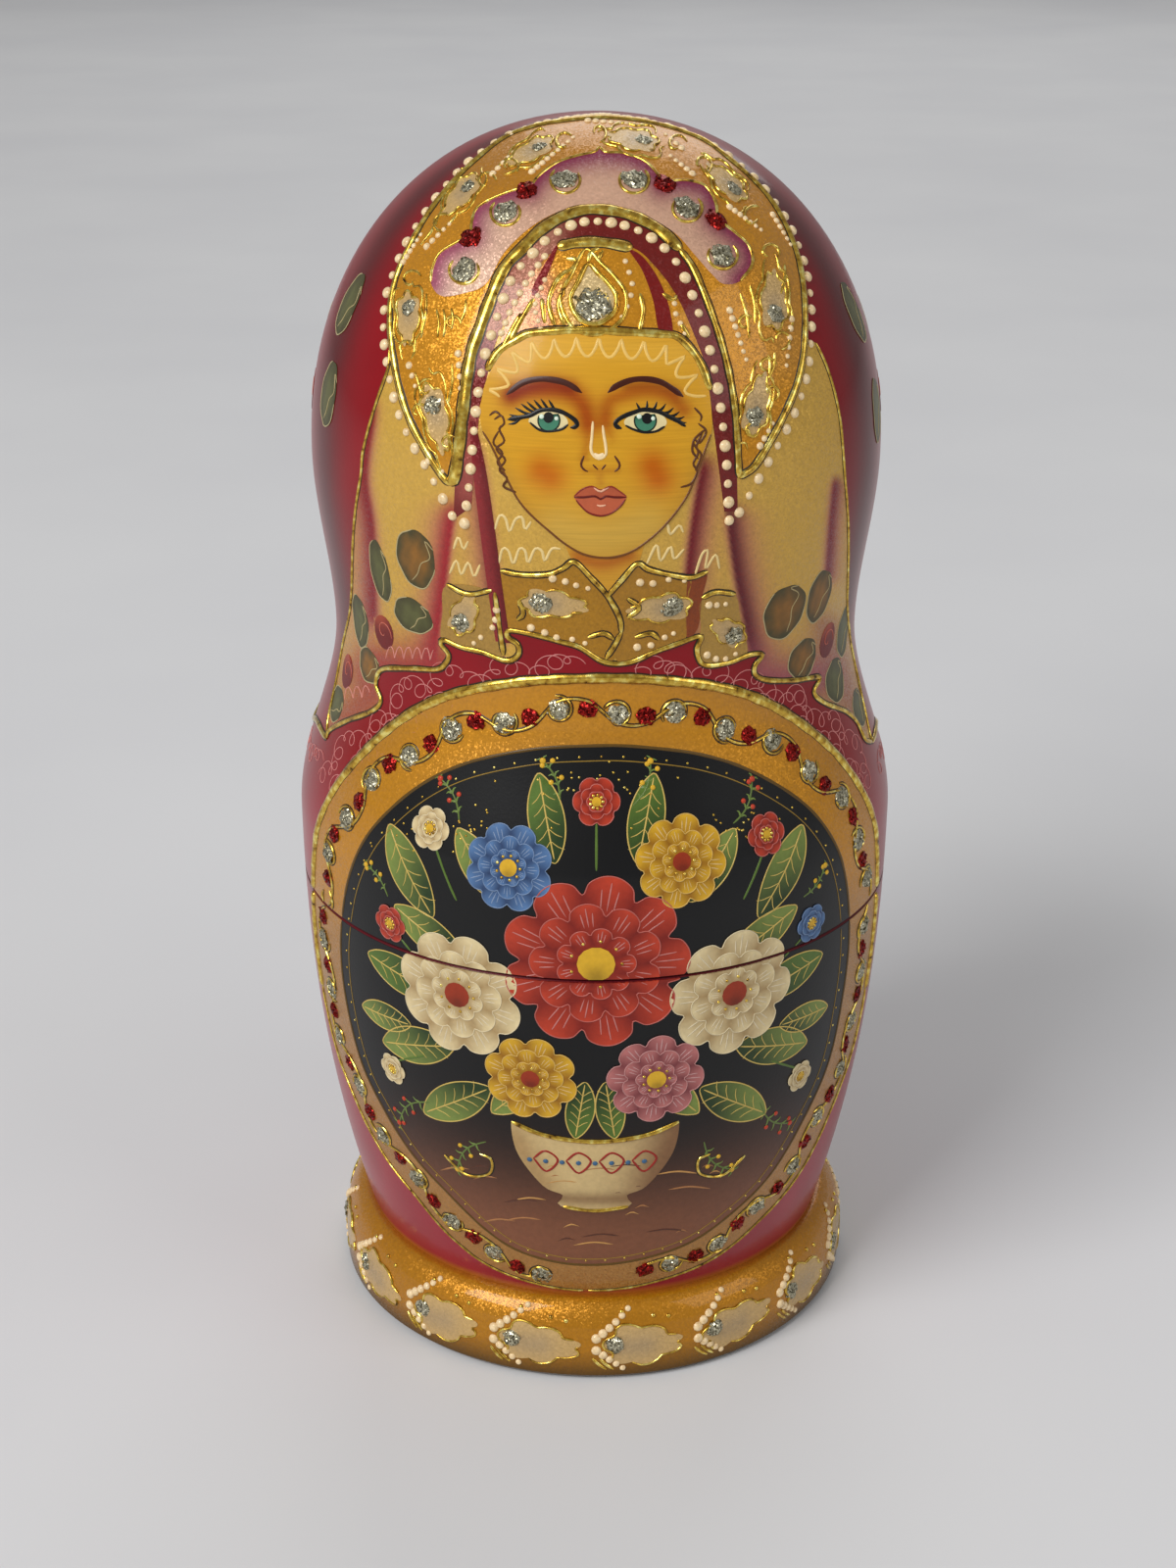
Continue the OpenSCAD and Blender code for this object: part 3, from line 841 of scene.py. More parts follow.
def paint_eyes(p):
    """White, iris, pupil, lid, lashes and brow of each eye."""
    for eye in EYES:
        p.film("paint", [smooth(eye["white"], 3, True)], 0.23, rgb(228, 210, 156), 5)
        x, y = eye["iris"]
        shaded = airbrush(IRIS, [([(x - 8, y - 8), (x + 8, y - 8)], 7, rgb(12, 44, 32), 0.8)])
        for size, lift, tone in ((11.8, 0.25, rgb(14, 34, 24)), (10.3, 0.27, shaded)):
            disc = ellipse(x, y, size, size, count=30)
            disc[:, 1] = np.maximum(disc[:, 1], y - 0.8 * size)
            p.film("paint", [disc[np.r_[0:18, 27:30]]], lift, tone, 3)
        p.film("paint", [ellipse(*eye["pupil"], 5.3, 5.6, count=16)], 0.29, INK, 5)
        p.domes("paint", eye["shine"], (0.36, 0.3), 0.35, rgb(222, 236, 216), lift=0.29)
        p.stroke("paint", eye["lid"], 0.62, 0.08, INK, lift=0.27, taper=(0.3, 0.3), step=0.32)
        p.stroke("paint", eye["low"], 0.34, 0.06, INK, lift=0.27, step=0.32)
        for x0, y0, x1, y1 in eye["lashes"]:
            bend = ((x0 + x1) / 2 + 1, (y0 + y1) / 2 + 1.5)
            p.stroke("paint", [(x0, y0), bend, (x1, y1)], 0.38, 0.06, INK, lift=0.21, taper=(1, 0.25),
                     step=0.4)
        p.stroke("paint", eye["brow"], 0.86, 0.05, rgb(66, 20, 2), lift=0.2, taper=(0.15, 0.15))


def paint_hair(p):
    """Brown curls at the temples, lace under the band and on the veil."""
    locks = ([(505, 428), (512, 424), (515, 432), (510, 438), (515, 450), (507, 458), (516, 469),
              (510, 479), (518, 488), (514, 496), (527, 502)],
             [(500, 424), (506, 420), (512, 424)],
             [(509, 440), (504, 452), (513, 462), (508, 472), (516, 480)],
             [(708, 416), (715, 424), (714, 430)],
             [(719, 438), (707, 450), (712, 461), (707, 473), (711, 481), (705, 493), (694, 497)],
             [(712, 432), (720, 440), (713, 452), (708, 448), (706, 460), (712, 468)],
             [(716, 442), (710, 456), (715, 464), (709, 480)])
    for line in locks:
        p.stroke("paint", line, 0.36, 0.12, rgb(92, 50, 16), lift=0.2, step=0.4)
    hairline = [(720, 404), (714, 388), (704, 371), (690, 356), (670, 350), (640, 347), (600, 345),
                (565, 346), (536, 351), (516, 365), (503, 384), (498, 402)]
    p.stroke("paint", scallops(hairline, 23, -19), 0.45, 0.08, rgb(232, 190, 100), lift=0.2)
    laces = ([(505, 540), (510, 526), (516, 529), (520, 542), (526, 530), (533, 528), (536, 540),
              (542, 532)],
             [(509, 575), (513, 560), (519, 562), (524, 575), (530, 560), (536, 562), (539, 574),
              (546, 560), (553, 562), (556, 572), (563, 560), (572, 560)],
             [(463, 560), (468, 548), (473, 560), (478, 552)],
             [(459, 585), (466, 572), (471, 586), (478, 574), (484, 588), (490, 576)],
             [(670, 545), (680, 534), (684, 545), (693, 536), (697, 543)],
             [(660, 575), (670, 556), (674, 572), (684, 558), (688, 570), (698, 560)],
             [(708, 590), (716, 566), (722, 562), (720, 580), (730, 566), (734, 580)])
    for lace in laces:
        p.stroke("paint", lace, 0.42, 0.1, LACE, lift=0.07)


def paint_collar(p):
    """Gold collar with a V neck, and the gold corners of the veil beside it."""
    left = [(511, 582), (531, 586), (558, 586), (574, 580), (586, 573), (602, 588), (620, 608),
            (632, 630), (630, 650), (627, 672), (616, 674), (591, 659), (570, 653), (544, 646),
            (520, 642), (515, 620)]
    right = [(650, 575), (662, 581), (687, 587), (705, 589), (700, 620), (700, 650), (690, 656),
             (668, 664), (641, 675), (628, 672), (631, 650), (634, 628), (622, 608), (634, 592)]
    corners = ([(703, 588), (721, 584), (716, 610), (712, 640), (701, 650), (700, 620)],
               [(716, 612), (748, 606), (755, 630), (762, 666), (743, 675), (719, 676), (712, 662),
                (715, 640)],
               [(456, 597), (500, 604), (508, 640), (514, 670), (492, 664), (470, 658), (451, 652),
                (452, 625)])
    pieces = ((left, rgb(176, 124, 26)), (right, rgb(172, 122, 34)), (corners[0], rgb(140, 64, 22)),
              (corners[1], rgb(178, 138, 62)), (corners[2], rgb(176, 136, 62)))
    for shape, tone in pieces:
        p.film("bronze", [smooth(shape, 6, True)], 0.11, tone, 7)
    lines = (left[:8] + [(634, 645)], [(620, 608), right[-1]] + right[:4] + [(722, 583)],
             [(634, 645), (626, 660), (618, 672)], [(456, 596), (478, 606), (502, 602)],
             [(716, 610), (730, 604), (750, 606)], [(505, 604), (510, 640), (514, 668)],
             [(530, 612), (534, 626), (528, 632)], [(640, 630), (652, 620), (640, 610)],
             [(600, 650), (616, 646), (626, 652)], [(648, 650), (664, 646), (672, 652)])
    for line in lines:
        p.gilt(line, 0.75, 0.11)
    blotches = ((566, 616, 0.12, 66, 28), (672, 621, math.pi - 0.15, 62, 28), (474, 626, -1.2, 44, 26),
                (742, 644, -2.6, 36, 26))
    for x, y, tilt, length, width in blotches:
        blotch(p, x, y, tilt, length, width, lift=0.11)
    bead_rows = ([(564, 590), (577, 593), (588, 597), (600, 600)],
                 [(542, 640), (556, 645), (568, 650), (584, 652), (597, 656)],
                 [(653, 594), (666, 595), (682, 591), (698, 592)],
                 [(650, 660), (664, 658), (678, 650), (687, 646)], [(723, 617), (731, 617), (740, 616)],
                 [(721, 668), (730, 672), (740, 672), (750, 667)],
                 [(507, 622), (506, 632), (503, 640), (491, 650), (484, 656)])
    for row in bead_rows:
        p.domes("white", row, np.linspace(0.62, 0.4, len(row)), 0.7, lift=0.12)


def petal_leaf(p, place, half_width, half_length, tilt, heart, lift=0.08):
    """A round brushed leaf: dark edge, warm heart and a thin pale wavy line. Sizes are in millimetres."""
    p.chart = Local(place)
    phase, edge = place[1], rgb(66, 62, 32)
    t = round_turn(40)
    wave = 1 + 0.03 * np.cos(3 * t + phase) + 0.02 * np.cos(7 * t + 2 * phase)
    c, s = math.cos(tilt), math.sin(tilt)
    loop = tilted(0, 0, tilt, half_width * np.cos(t) * wave, half_length * np.sin(t) * wave)

    def colour(points):
        u, v = points @ (c, s) / half_width, points @ (-s, c) / half_length
        streak = 0.14 * np.sin(u * 11 + 3 * v + phase) + 0.1 * np.sin(u * 5 - 7 * v)
        share = np.clip(0.95 - np.hypot(u, v) ** 1.8 + streak, 0, 1)[:, None]
        return edge * (1 - share) + heart * share
    p.film("paint", [loop], lift, colour, min(half_width, half_length) * 0.22)
    across, along = np.array([(0.9, -0.5), (0.5, -0.72), (0.75, -0.2), (0.3, 0.1), (0.1, 0.5),
                              (-0.2, 0.8)]).T
    line = tilted(0, 0, tilt, across * half_width, along * half_length)
    p.stroke("paint", line, 0.18, 0.06, rgb(178, 160, 112), lift)
    p.stroke("paint", loop[1:30], 0.2, 0.06, rgb(180, 164, 120), lift)


def rose(p, place, size, lift=0.10):
    """A small brushed red rose with a pale curl."""
    p.chart = Local(place)
    p.film("paint", [ellipse(0, 0, size, size * 1.2, 0.2, count=18)], lift, airbrush(rgb(150, 40, 28), [
        ([(0, 0), (size * 0.1, 0)], size * 0.5, rgb(92, 12, 14), 0.8),
        ([(-size, -size), (0, -size)], size * 0.6, rgb(176, 72, 40), 0.7)]), size * 0.35)
    t = np.linspace(0.8, 6.5, 14)
    curl = np.stack([size * t / 8 * np.cos(t), size * t / 7 * np.sin(t)], 1)
    p.stroke("paint", curl, 0.18, 0.08, rgb(196, 104, 84), lift)


def paint_fold(p):
    """The dark fold of the veil that hangs over the collar's left side."""
    right = [(485, 430), (496, 480), (505, 540), (513, 600), (521, 656)]
    left = [(506, 654), (498, 600), (490, 540), (483, 480), (479, 430)]
    p.film("pearl", [np.vstack([smooth(right, 5), smooth(left, 5)])], 0.14, airbrush(rgb(146, 38, 40), [
        (right, 9, rgb(104, 4, 10), 1.0)]), 3)


def paint_leaves(p):
    """Leaves and roses along the ends of the veil, and on the sides of the hood."""
    leaves = ((424, 570, 3.7, 4.7, 0.1, RUST), (388, 583, 2.3, 5.0, -0.05, OLIVE),
              (421, 628, 3.9, 2.9, 0.0, OLIVE), (368, 634, 2.6, 4.5, 0.1, OLIVE),
              (377, 679, 3.2, 2.8, 0.1, RUST), (344, 718, 3.0, 2.9, 0.5, OLIVE),
              (801, 624, 4.4, 4.4, -0.5, RUST), (836, 608, 3.3, 4.3, 0.0, RUST),
              (819, 672, 3.5, 3.3, 0.1, RUST), (860, 644, 2.8, 4.3, 0.0, OLIVE),
              (852, 694, 3.4, 3.6, -0.1, OLIVE), (876, 722, 3.2, 3.1, -0.4, OLIVE),
              (335, 402, 3.2, 5.0, 0.05, OLIVE), (356, 310, 3.2, 5.0, 0.15, OLIVE),
              (895, 418, 3.2, 5.0, 0.0, OLIVE), (872, 318, 3.2, 5.0, -0.2, OLIVE))
    for x, y, w, h, tilt, heart in leaves:
        petal_leaf(p, seen_at([(x, y)])[0], w, h, tilt, heart)
    roses = ((392, 645, 2.4), (355, 685, 2.4), (844, 653, 2.4))
    for x, y, size in roses:
        rose(p, seen_at([(x, y)])[0], size)


def paint_dress(p):
    """Pale lace scribbled over the red dress under the hem."""
    p.chart = Skin
    laces = (([(328, 800), (345, 766), (370, 750), (396, 732), (404, 708), (430, 698), (462, 690),
               (500, 688), (530, 684), (560, 676), (590, 680)],
              2.2, 3.0),
             ([(330, 830), (345, 800), (370, 774), (400, 748), (430, 728), (462, 710)], 2.0, 2.7),
             ([(648, 688), (690, 678), (706, 688), (740, 692), (764, 692), (778, 704), (808, 710),
               (836, 732), (862, 746), (888, 792)],
              2.2, 3.0),
             ([(760, 706), (800, 728), (840, 752), (870, 784), (888, 822)], 2.0, 2.7))
    for path, pitch, size in laces:
        line = scribble(on_skin(path), pitch, size)
        p.stroke("paint", line, 0.15, 0.06, PALE_LACE, lift=0.02, step=0.28)


def paint_border(p):
    """Gold border of the oval, with a vine of silver and red glitter that leaves the bottom bare."""
    p.chart = Skin
    outer, inner = around_panel(1.0), around_panel(0.0)
    arch = [(340, 880), (420, 775), (530, 728), (600, 722), (700, 735), (800, 785), (872, 870)]
    gilding = airbrush(rgb(172, 122, 60), [(arch, 60, rgb(204, 138, 20), 0.95)])
    p.film("bronze", [outer, inner], 0.08, gilding, 1.4, Photo)
    outer = np.roll(outer, -int(np.argmin(outer[:, 1])), 0)
    high = np.flatnonzero(outer[:, 1] > outer[:, 1].mean() - 10)
    p.gilt(outer[high], 1.6, 0.05)
    for run in (outer[:high[0] + 1], outer[high[-1]:]):
        p.gilt(run, 0.4, 0.05)
    p.stroke("paint", inner, 0.5, 0.1, rgb(92, 66, 16), lift=0.08, closed=True)
    spots = spaced(around_panel(0.5), 4.4, True)
    spots = np.roll(spots, -int(np.argmin(spots[:, 1])) - 2, 0)[:-3]
    sway = np.where(np.arange(len(spots)) % 4 < 2, 1.0, -1.0)
    p.gilt(beside(spots, 1.7 * sway), 0.45, 0.08)
    spots = beside(spots, 0.5 * sway)
    silver, red = spots[::2], spots[1::2]
    t = np.linspace(-0.4, 4.6, 11)
    spiral = 1.45 + 0.18 * t
    for k, spot in enumerate(silver):
        p.gilt(polar(*spot, spiral, t + k), 0.4, 0.08)
    p.domes("silver", silver, 1.7, 0.24, lift=0.09, sides=16, jitter=0.1)
    p.domes("red", red, 1.5, 0.26, lift=0.09, sides=16, jitter=0.1)


# Dark and light tones of the painted flowers, and greens.
RED_FLOWER, CREAM_FLOWER = (rgb(104, 10, 6), rgb(190, 62, 36)), (rgb(156, 124, 76), rgb(228, 208, 160))
YELLOW_FLOWER, BLUE_FLOWER = (rgb(132, 78, 4), rgb(218, 170, 40)), (rgb(22, 40, 78), rgb(86, 122, 168))
PINK_FLOWER, RUST_HEART = (rgb(104, 36, 44), rgb(190, 116, 112)), rgb(150, 48, 18)
GREEN, MOSS, PALE_GREEN = rgb(34, 54, 20), rgb(86, 112, 42), rgb(122, 138, 64)


def leaf(p, x, y, half_width, half_length, tilt, base, tip):
    """A pointed painted leaf with a fine pale outline and veins."""
    s = np.linspace(-1, 1, 13)
    wide = half_width * (1 - s ** 2) ** 0.75
    c, n = math.cos(tilt), math.sin(tilt)

    def put(across, along):
        return tilted(x, y, tilt, across, along * half_length)
    loop = np.vstack([put(wide, s)[:-1], put(-wide, s)[::-1][:-1]])

    def colour(points):
        away = points - (x, y)
        along, across = away @ (-n, c) / half_length, away @ (c, n) / half_width
        lit = 0.25 * np.sign(across) * np.sqrt(np.abs(across))
        share = np.clip(eased(along / 2 + 0.5) + lit, 0, 1)[:, None]
        return base * (1 - share) + tip * share
    p.film("paint", [loop], 0.09, colour, half_width * 0.4)
    gilded = rgb(206, 176, 92)
    p.stroke("paint", loop, 0.22, 0.07, gilded, 0.09, closed=True)
    p.stroke("paint", put(np.zeros(5), np.linspace(-0.9, 0.9, 5)), 0.24, 0.07, gilded, 0.09)
    for at in np.linspace(-0.5, 0.6, 5):
        for way in (-1, 1):
            out = way * np.array([0, 0.35, 0.66]) * half_width
            p.stroke("paint", put(out, at - np.array([0, 0.16, 0.24])), 0.14, 0.06, gilded, 0.09)


def flower(p, x, y, size, petals, tones, heart, turn=0.0):
    """A layered folk-art flower: three rings of brushed petals and a dotted heart."""
    dark, light = tones
    t = round_turn(petals * 8)
    for k, share in enumerate((1.0, 0.7, 0.42)):
        lean = turn + k * math.pi / petals
        r = size * share * (0.80 + 0.20 * np.abs(np.cos(petals * (t - lean) / 2)) ** 0.6)
        loop = polar(x, y, r, t)
        lift = 0.2 + 0.035 * k

        def colour(points, share=share, lean=lean):
            away = points - (x, y)
            out = np.clip(np.linalg.norm(away, axis=1) / (size * share), 0, 1)
            ridge = np.abs(np.cos(petals * (np.arctan2(away[:, 1], away[:, 0]) - lean) / 2))
            mix = (out ** 1.6 * (0.2 + 0.8 * ridge))[:, None]
            return dark * (1 - mix) + light * mix
        p.film("paint", [loop], lift, colour, max(3.0, size * 0.07))
        p.stroke("paint", loop, 0.18, 0.07, light * 0.8 + 0.08, lift, closed=True)
        for petal in range(petals if size > 30 else 0):
            for fan in (-0.16, 0.0, 0.16):
                a = lean + 2 * math.pi * petal / petals + fan * 6 / petals
                reach = np.linspace(0.62, 0.93 - abs(fan) * 0.5, 4) * size * share
                p.stroke("paint", polar(x, y, reach, a), 0.2, 0.05, light * 0.7 + 0.16, lift,
                         taper=(0.2, 0.5))
    p.film("paint", [ellipse(x, y, size * 0.2, size * 0.2, count=14)], 0.31, airbrush(heart, [
        ([(x, y + size * 0.15), (x + 1, y + size * 0.15)], size * 0.12, heart * 0.4, 0.8)]), 4)
    p.domes("gold", polar(x, y, size * 0.27, round_turn(9)), 0.26, 0.6, lift=0.27)


def sprig(p, x, y, angle, length, berry):
    """A thin stem with small side leaves and berries."""
    way = np.array([math.cos(angle), math.sin(angle)])
    side = np.array([-way[1], way[0]])
    share = np.linspace(0, 1, 6)[:, None]
    stem = np.array([x, y]) + way * length * share + side * 0.14 * length * np.sin(share * math.pi)
    p.stroke("paint", stem, 0.3, 0.08, rgb(96, 116, 52), 0.08)
    for k, point in enumerate(stem[1:]):
        for hand in (-1, 1):
            tip = point + (way * 0.5 + side * hand) * length * 0.13
            side_leaf = [point, (point + tip) / 2 + way * 1.5, tip]
            p.stroke("paint", side_leaf, 0.42, 0.08, rgb(110, 132, 60), 0.08, taper=(0.6, 0.3))
            if k % 2:
                p.domes("paint", [tip + way * 2], 0.42, 0.5, berry, lift=0.08, sides=8)
    p.domes("paint", [stem[-1]], 0.5, 0.5, berry, lift=0.08, sides=8)


def bouquet(p, leaves, sprigs, curls, flowers):
    """Leaves, sprigs and curls, each on both sides, with flowers over them."""
    for way in (-1, 1):
        for x, y, length, tilt in leaves:
            leaf(p, way * x, y, length * 0.42, length, -way * tilt, GREEN,
                 (MOSS, PALE_GREEN)[length // 2 % 2])
        for x, y, rise, length, berry in sprigs:
            sprig(p, way * x, y, math.pi / 2 - way * (math.pi / 2 + rise), length, berry)
        for curl in curls:
            p.gilt(np.array(curl) * (way, 1), 0.5, 0.06)
    for x, y, size, petals, tones, heart, turn in flowers:
        flower(p, x, y, size, petals, tones, heart, turn)


def paint_panel(p):
    """Black lacquer panel with a bouquet in a bowl."""
    p.chart = Skin
    ground = [(400, 1230), (500, 1262), (612, 1275), (720, 1262), (820, 1225)]
    lacquer = airbrush(BLACK, [(ground, (64, 66), rgb(128, 78, 52), 1.0)])
    p.film("paint", [around_panel(0.0)], 0.06, lacquer, 1.4, Photo)
    p.domes("gold", spaced(around_panel(-0.16), 3.2, True), 0.2, 0.5, lift=0.08, sides=6)
    p.stroke("paint", around_panel(-0.22), 0.16, 0.05, rgb(150, 118, 40), 0.08, closed=True)
    p.chart, edge = Photo, np.array(PANEL, float)
    for k in range(44):
        x, y = 420 + 9 * k + 22 * math.sin(k * 2.4), 1228 + 40 * math.sin(k * 1.7)
        half = 14 + 8 * math.sin(k * 3.1)
        tone = (rgb(168, 114, 68), rgb(84, 46, 32), rgb(190, 140, 78))[k % 3]
        brush = [(x - half, y + 3), (x, y), (x + half, y + 2)]
        if inside(np.array(brush), [edge]).all():
            p.stroke("paint", brush, 0.34, 0.06, tone, 0.07, taper=(0.1, 0.1))
    drifts = np.array([(470, 846), (600, 800), (740, 846)])
    specks = rng.normal(0, 1, (90, 2)) * (46, 10) + drifts[np.arange(90) % 3]
    p.domes("gold", specks[inside(specks, [edge])], 0.2, 0.6, lift=0.08, sides=6)
    p.chart = Local(seen_at([(608, 1026)])[0], 0.174)
    bowl = smooth([(-80, 130), (-68, 138), (0, 146), (68, 138), (80, 130), (76, 166), (52, 202),
                   (32, 212), (34, 226), (-34, 226), (-32, 212), (-52, 202), (-76, 166)], 5, True)
    p.film("paint", [bowl], 0.11, airbrush(rgb(206, 178, 124), [
        ([(82, 140), (62, 200)], 34, rgb(110, 62, 34), 0.85),
        ([(-78, 150), (-52, 200)], 16, rgb(150, 108, 60), 0.6),
        ([(-32, 216), (34, 216)], 8, rgb(110, 70, 40), 0.7)]), 5)
    p.stroke("gold", [(-80, 131), (-48, 142), (0, 147), (48, 142), (80, 131)], 0.8, 0.3, lift=0.12)
    p.stroke("gold", [(-32, 226), (0, 230), (34, 226)], 0.7, 0.3, lift=0.12)
    for x in (-48, -16, 16, 48):
        diamond = [(x - 12, 170), (x, 184), (x + 12, 170), (x, 160), (x - 12, 170)]
        p.stroke("paint", diamond, 0.4, 0.1, rgb(150, 36, 24), 0.12)
        p.domes("paint", [(x, 172), (x - 16, 172)], 0.45, 0.5, rgb(60, 96, 130), lift=0.12, sides=8)
    yellow, ember = YELLOW_FLOWER[1], RED_FLOWER[1]
    stems = ((0, -172, 0, -130), (-150, -134, -126, -90), (156, -128, 134, -90), (-188, -36, -168, -20),
             (202, -32, 182, -20), (-204, 98, -168, 80), (210, 108, 176, 88))
    for x0, y0, x1, y1 in stems:
        p.stroke("paint", [(x0, y0), (x1, y1)], 0.4, 0.1, MOSS, 0.08)
    leaves = ((178, -105, 46, 2.5), (156, -50, 42, 2.0), (190, 2, 44, 1.75), (178, 72, 46, 1.3),
              (138, 122, 46, 1.0), (46, -174, 40, 2.9), (106, -126, 38, 2.45), (72, 98, 38, 0.8),
              (216, 54, 34, 1.5), (14, 112, 32, 0.15))
    sprigs = ((129, -160, 0.92, 44, ember), (34, -186, 1.12, 42, yellow), (168, 132, -0.72, 62, ember),
              (202, -74, 0.67, 36, yellow), (108, 160, -0.87, 56, yellow))
    curl = [(158, 190), (134, 206), (108, 198), (104, 180), (116, 176)]
    flowers = ((0, -42, 84, 9, RED_FLOWER, yellow, 0.0), (-128, 4, 62, 8, CREAM_FLOWER, RUST_HEART, 0.3),
               (128, 2, 62, 8, CREAM_FLOWER, RUST_HEART, 0.1),
               (76, -134, 42, 8, YELLOW_FLOWER, RUST_HEART, 0.2),
               (-78, -128, 40, 8, BLUE_FLOWER, yellow, 0.4), (56, 80, 46, 8, PINK_FLOWER, yellow, 0.1),
               (-60, 80, 44, 8, YELLOW_FLOWER, RUST_HEART, 0.3),
               (0, -190, 22, 6, RED_FLOWER, yellow, 0.0), (-158, -150, 20, 6, CREAM_FLOWER, yellow, 0.0),
               (162, -144, 20, 6, RED_FLOWER, yellow, 0.0), (-200, -48, 18, 6, RED_FLOWER, yellow, 0.0),
               (214, -44, 18, 6, BLUE_FLOWER, yellow, 0.0), (-212, 110, 16, 6, CREAM_FLOWER, yellow, 0.0),
               (218, 120, 16, 6, CREAM_FLOWER, yellow, 0.0))
    bouquet(p, leaves, sprigs, [curl], flowers)


BASE_MOTIFS = 16


def paint_base(p):
    """Gold base: blotches, glitter and bead rows all round, and gold drops."""
    p.chart = Wrap
    for k in range(BASE_MOTIFS):
        x = (0.08 + k * 2 * math.pi / BASE_MOTIFS) * NECK_R
        lean = 0.18 * math.sin(k * 2.3)
        blotch(p, x + 4.9, 6.5, lean, 12.6, 7.0, silver=False, lift=0.06)
        p.domes("silver", [(x + 0.2, 7.0)], 1.5, 0.24, lift=0.1, sides=16, jitter=0.1)
        for beads, first, rise in ((6, 8.2, 0.9), (5, 6.0, -0.9)):
            row = [(x - 2.8 + 1.05 * j, first + rise * j) for j in range(beads)]
            p.domes("white", row, np.linspace(0.86, 0.52, beads), 0.6, lift=0.04)
        p.domes("gold", [(x + 6.5, 11.4), (x + 9.0, 11.0), (x + 1.4, 12.3)], 0.4, 0.6, lift=0.04)
        for dx in (0.0, 1.1):
            p.stroke("gold", [(x - 3.4 + dx, 4.4), (x - 2.4 + dx, 3.2), (x - 1.2 + dx, 2.2)], 0.6, 0.24,
                     lift=0.03)


def spray(p, place, unit):
    """A spray of flowers, leaves and berries for the back."""
    p.chart = Local(place, unit)
    yellow, ember = YELLOW_FLOWER[1], RED_FLOWER[1]
    leaves = ((30, -70, 40, 2.7), (62, -44, 40, 2.1), (70, 16, 42, 1.5), (44, 60, 40, 0.8),
              (100, -22, 30, 1.8), (98, 40, 28, 1.2))
    sprigs = ((44, -84, 1.05, 62, yellow), (112, -6, 0.1, 56, ember), (64, 86, -0.9, 56, yellow),
              (16, 96, -1.4, 50, ember))
    curls = ([(20, 78), (34, 98), (54, 100), (58, 86), (48, 82)],
             [(16, -96), (28, -118), (46, -120), (50, -106), (40, -102)])
    flowers = ((-66, -10, 28, 8, YELLOW_FLOWER, RUST_HEART, 0.2),
               (66, -10, 28, 8, YELLOW_FLOWER, RUST_HEART, 0.2),
               (-40, 56, 20, 6, BLUE_FLOWER, yellow, 0.0), (40, 56, 20, 6, BLUE_FLOWER, yellow, 0.0),
               (0, -64, 26, 8, PINK_FLOWER, yellow, 0.1), (0, 0, 46, 9, CREAM_FLOWER, RUST_HEART, 0.2),
               (0, 74, 18, 6, RED_FLOWER, yellow, 0.0))
    bouquet(p, leaves, sprigs, curls, flowers)


def paint_back(p):
    """The hem and lace round the back, leaves and roses at its sides, and two sprays of flowers."""
    (a0, z0), (a1, z1) = seen_at([HEM[-1], HEM[0]])
    turn = np.linspace(a0, a1 + 2 * math.pi, 90)
    share = np.linspace(0, 1, 90)
    level = z0 * (1 - share) + z1 * share - 7 * np.sin(math.pi * share) ** 0.7
    hem = np.stack([turn * NECK_R, level + 1.5 * np.abs(np.sin(share * math.pi * 10))], 1)
    p.chart = Wrap
    p.gilt(hem, 1.0, 0.05)
    line = scribble(hem - (0, 4.0), 2.4, 2.8)
    p.stroke("paint", line, 0.15, 0.06, PALE_LACE, lift=0.02, step=0.32)
    for side in (-1, 1):
        leaves = ((1.62, 128, 3.0, 5.0, 0.3), (1.76, 150, 3.0, 5.2, -0.4), (1.66, 168, 2.8, 4.8, -0.2),
                  (1.9, 118, 3.0, 4.8, 0.6), (2.06, 158, 2.8, 4.8, -0.7))
        for angle, z, w, h, tilt in leaves:
            petal_leaf(p, (side * angle, z), w, h, side * tilt, RUST, 0.06)
        roses = ((1.6, 140), (1.94, 138), (1.52, 158), (1.82, 108))
        for angle, z in roses:
            rose(p, (side * angle, z), 2.8, 0.06)
    spray(p, (math.pi, 138), 0.19)
    spray(p, (math.pi, 46), 0.16)


SECTIONS = (("veil", paint_veil), ("veil", paint_leaves), ("lining", paint_lining),
            ("kokoshnik", paint_kokoshnik), ("forehead_band", paint_forehead),
            ("pearl_strings", paint_pearls), ("face", paint_face), ("collar", paint_collar),
            ("veil", paint_fold), ("dress_lace", paint_dress), ("oval_border", paint_border),
            ("panel_bouquet", paint_panel), ("base_ring", paint_base), ("hood_back", paint_back))


def whole_painting(coarse):
    """Every section of the painting. A larger coarse value gives fewer points."""
    p = Painting(coarse)
    for p.section, draw in SECTIONS:
        p.chart = Photo
        draw(p)
    return p


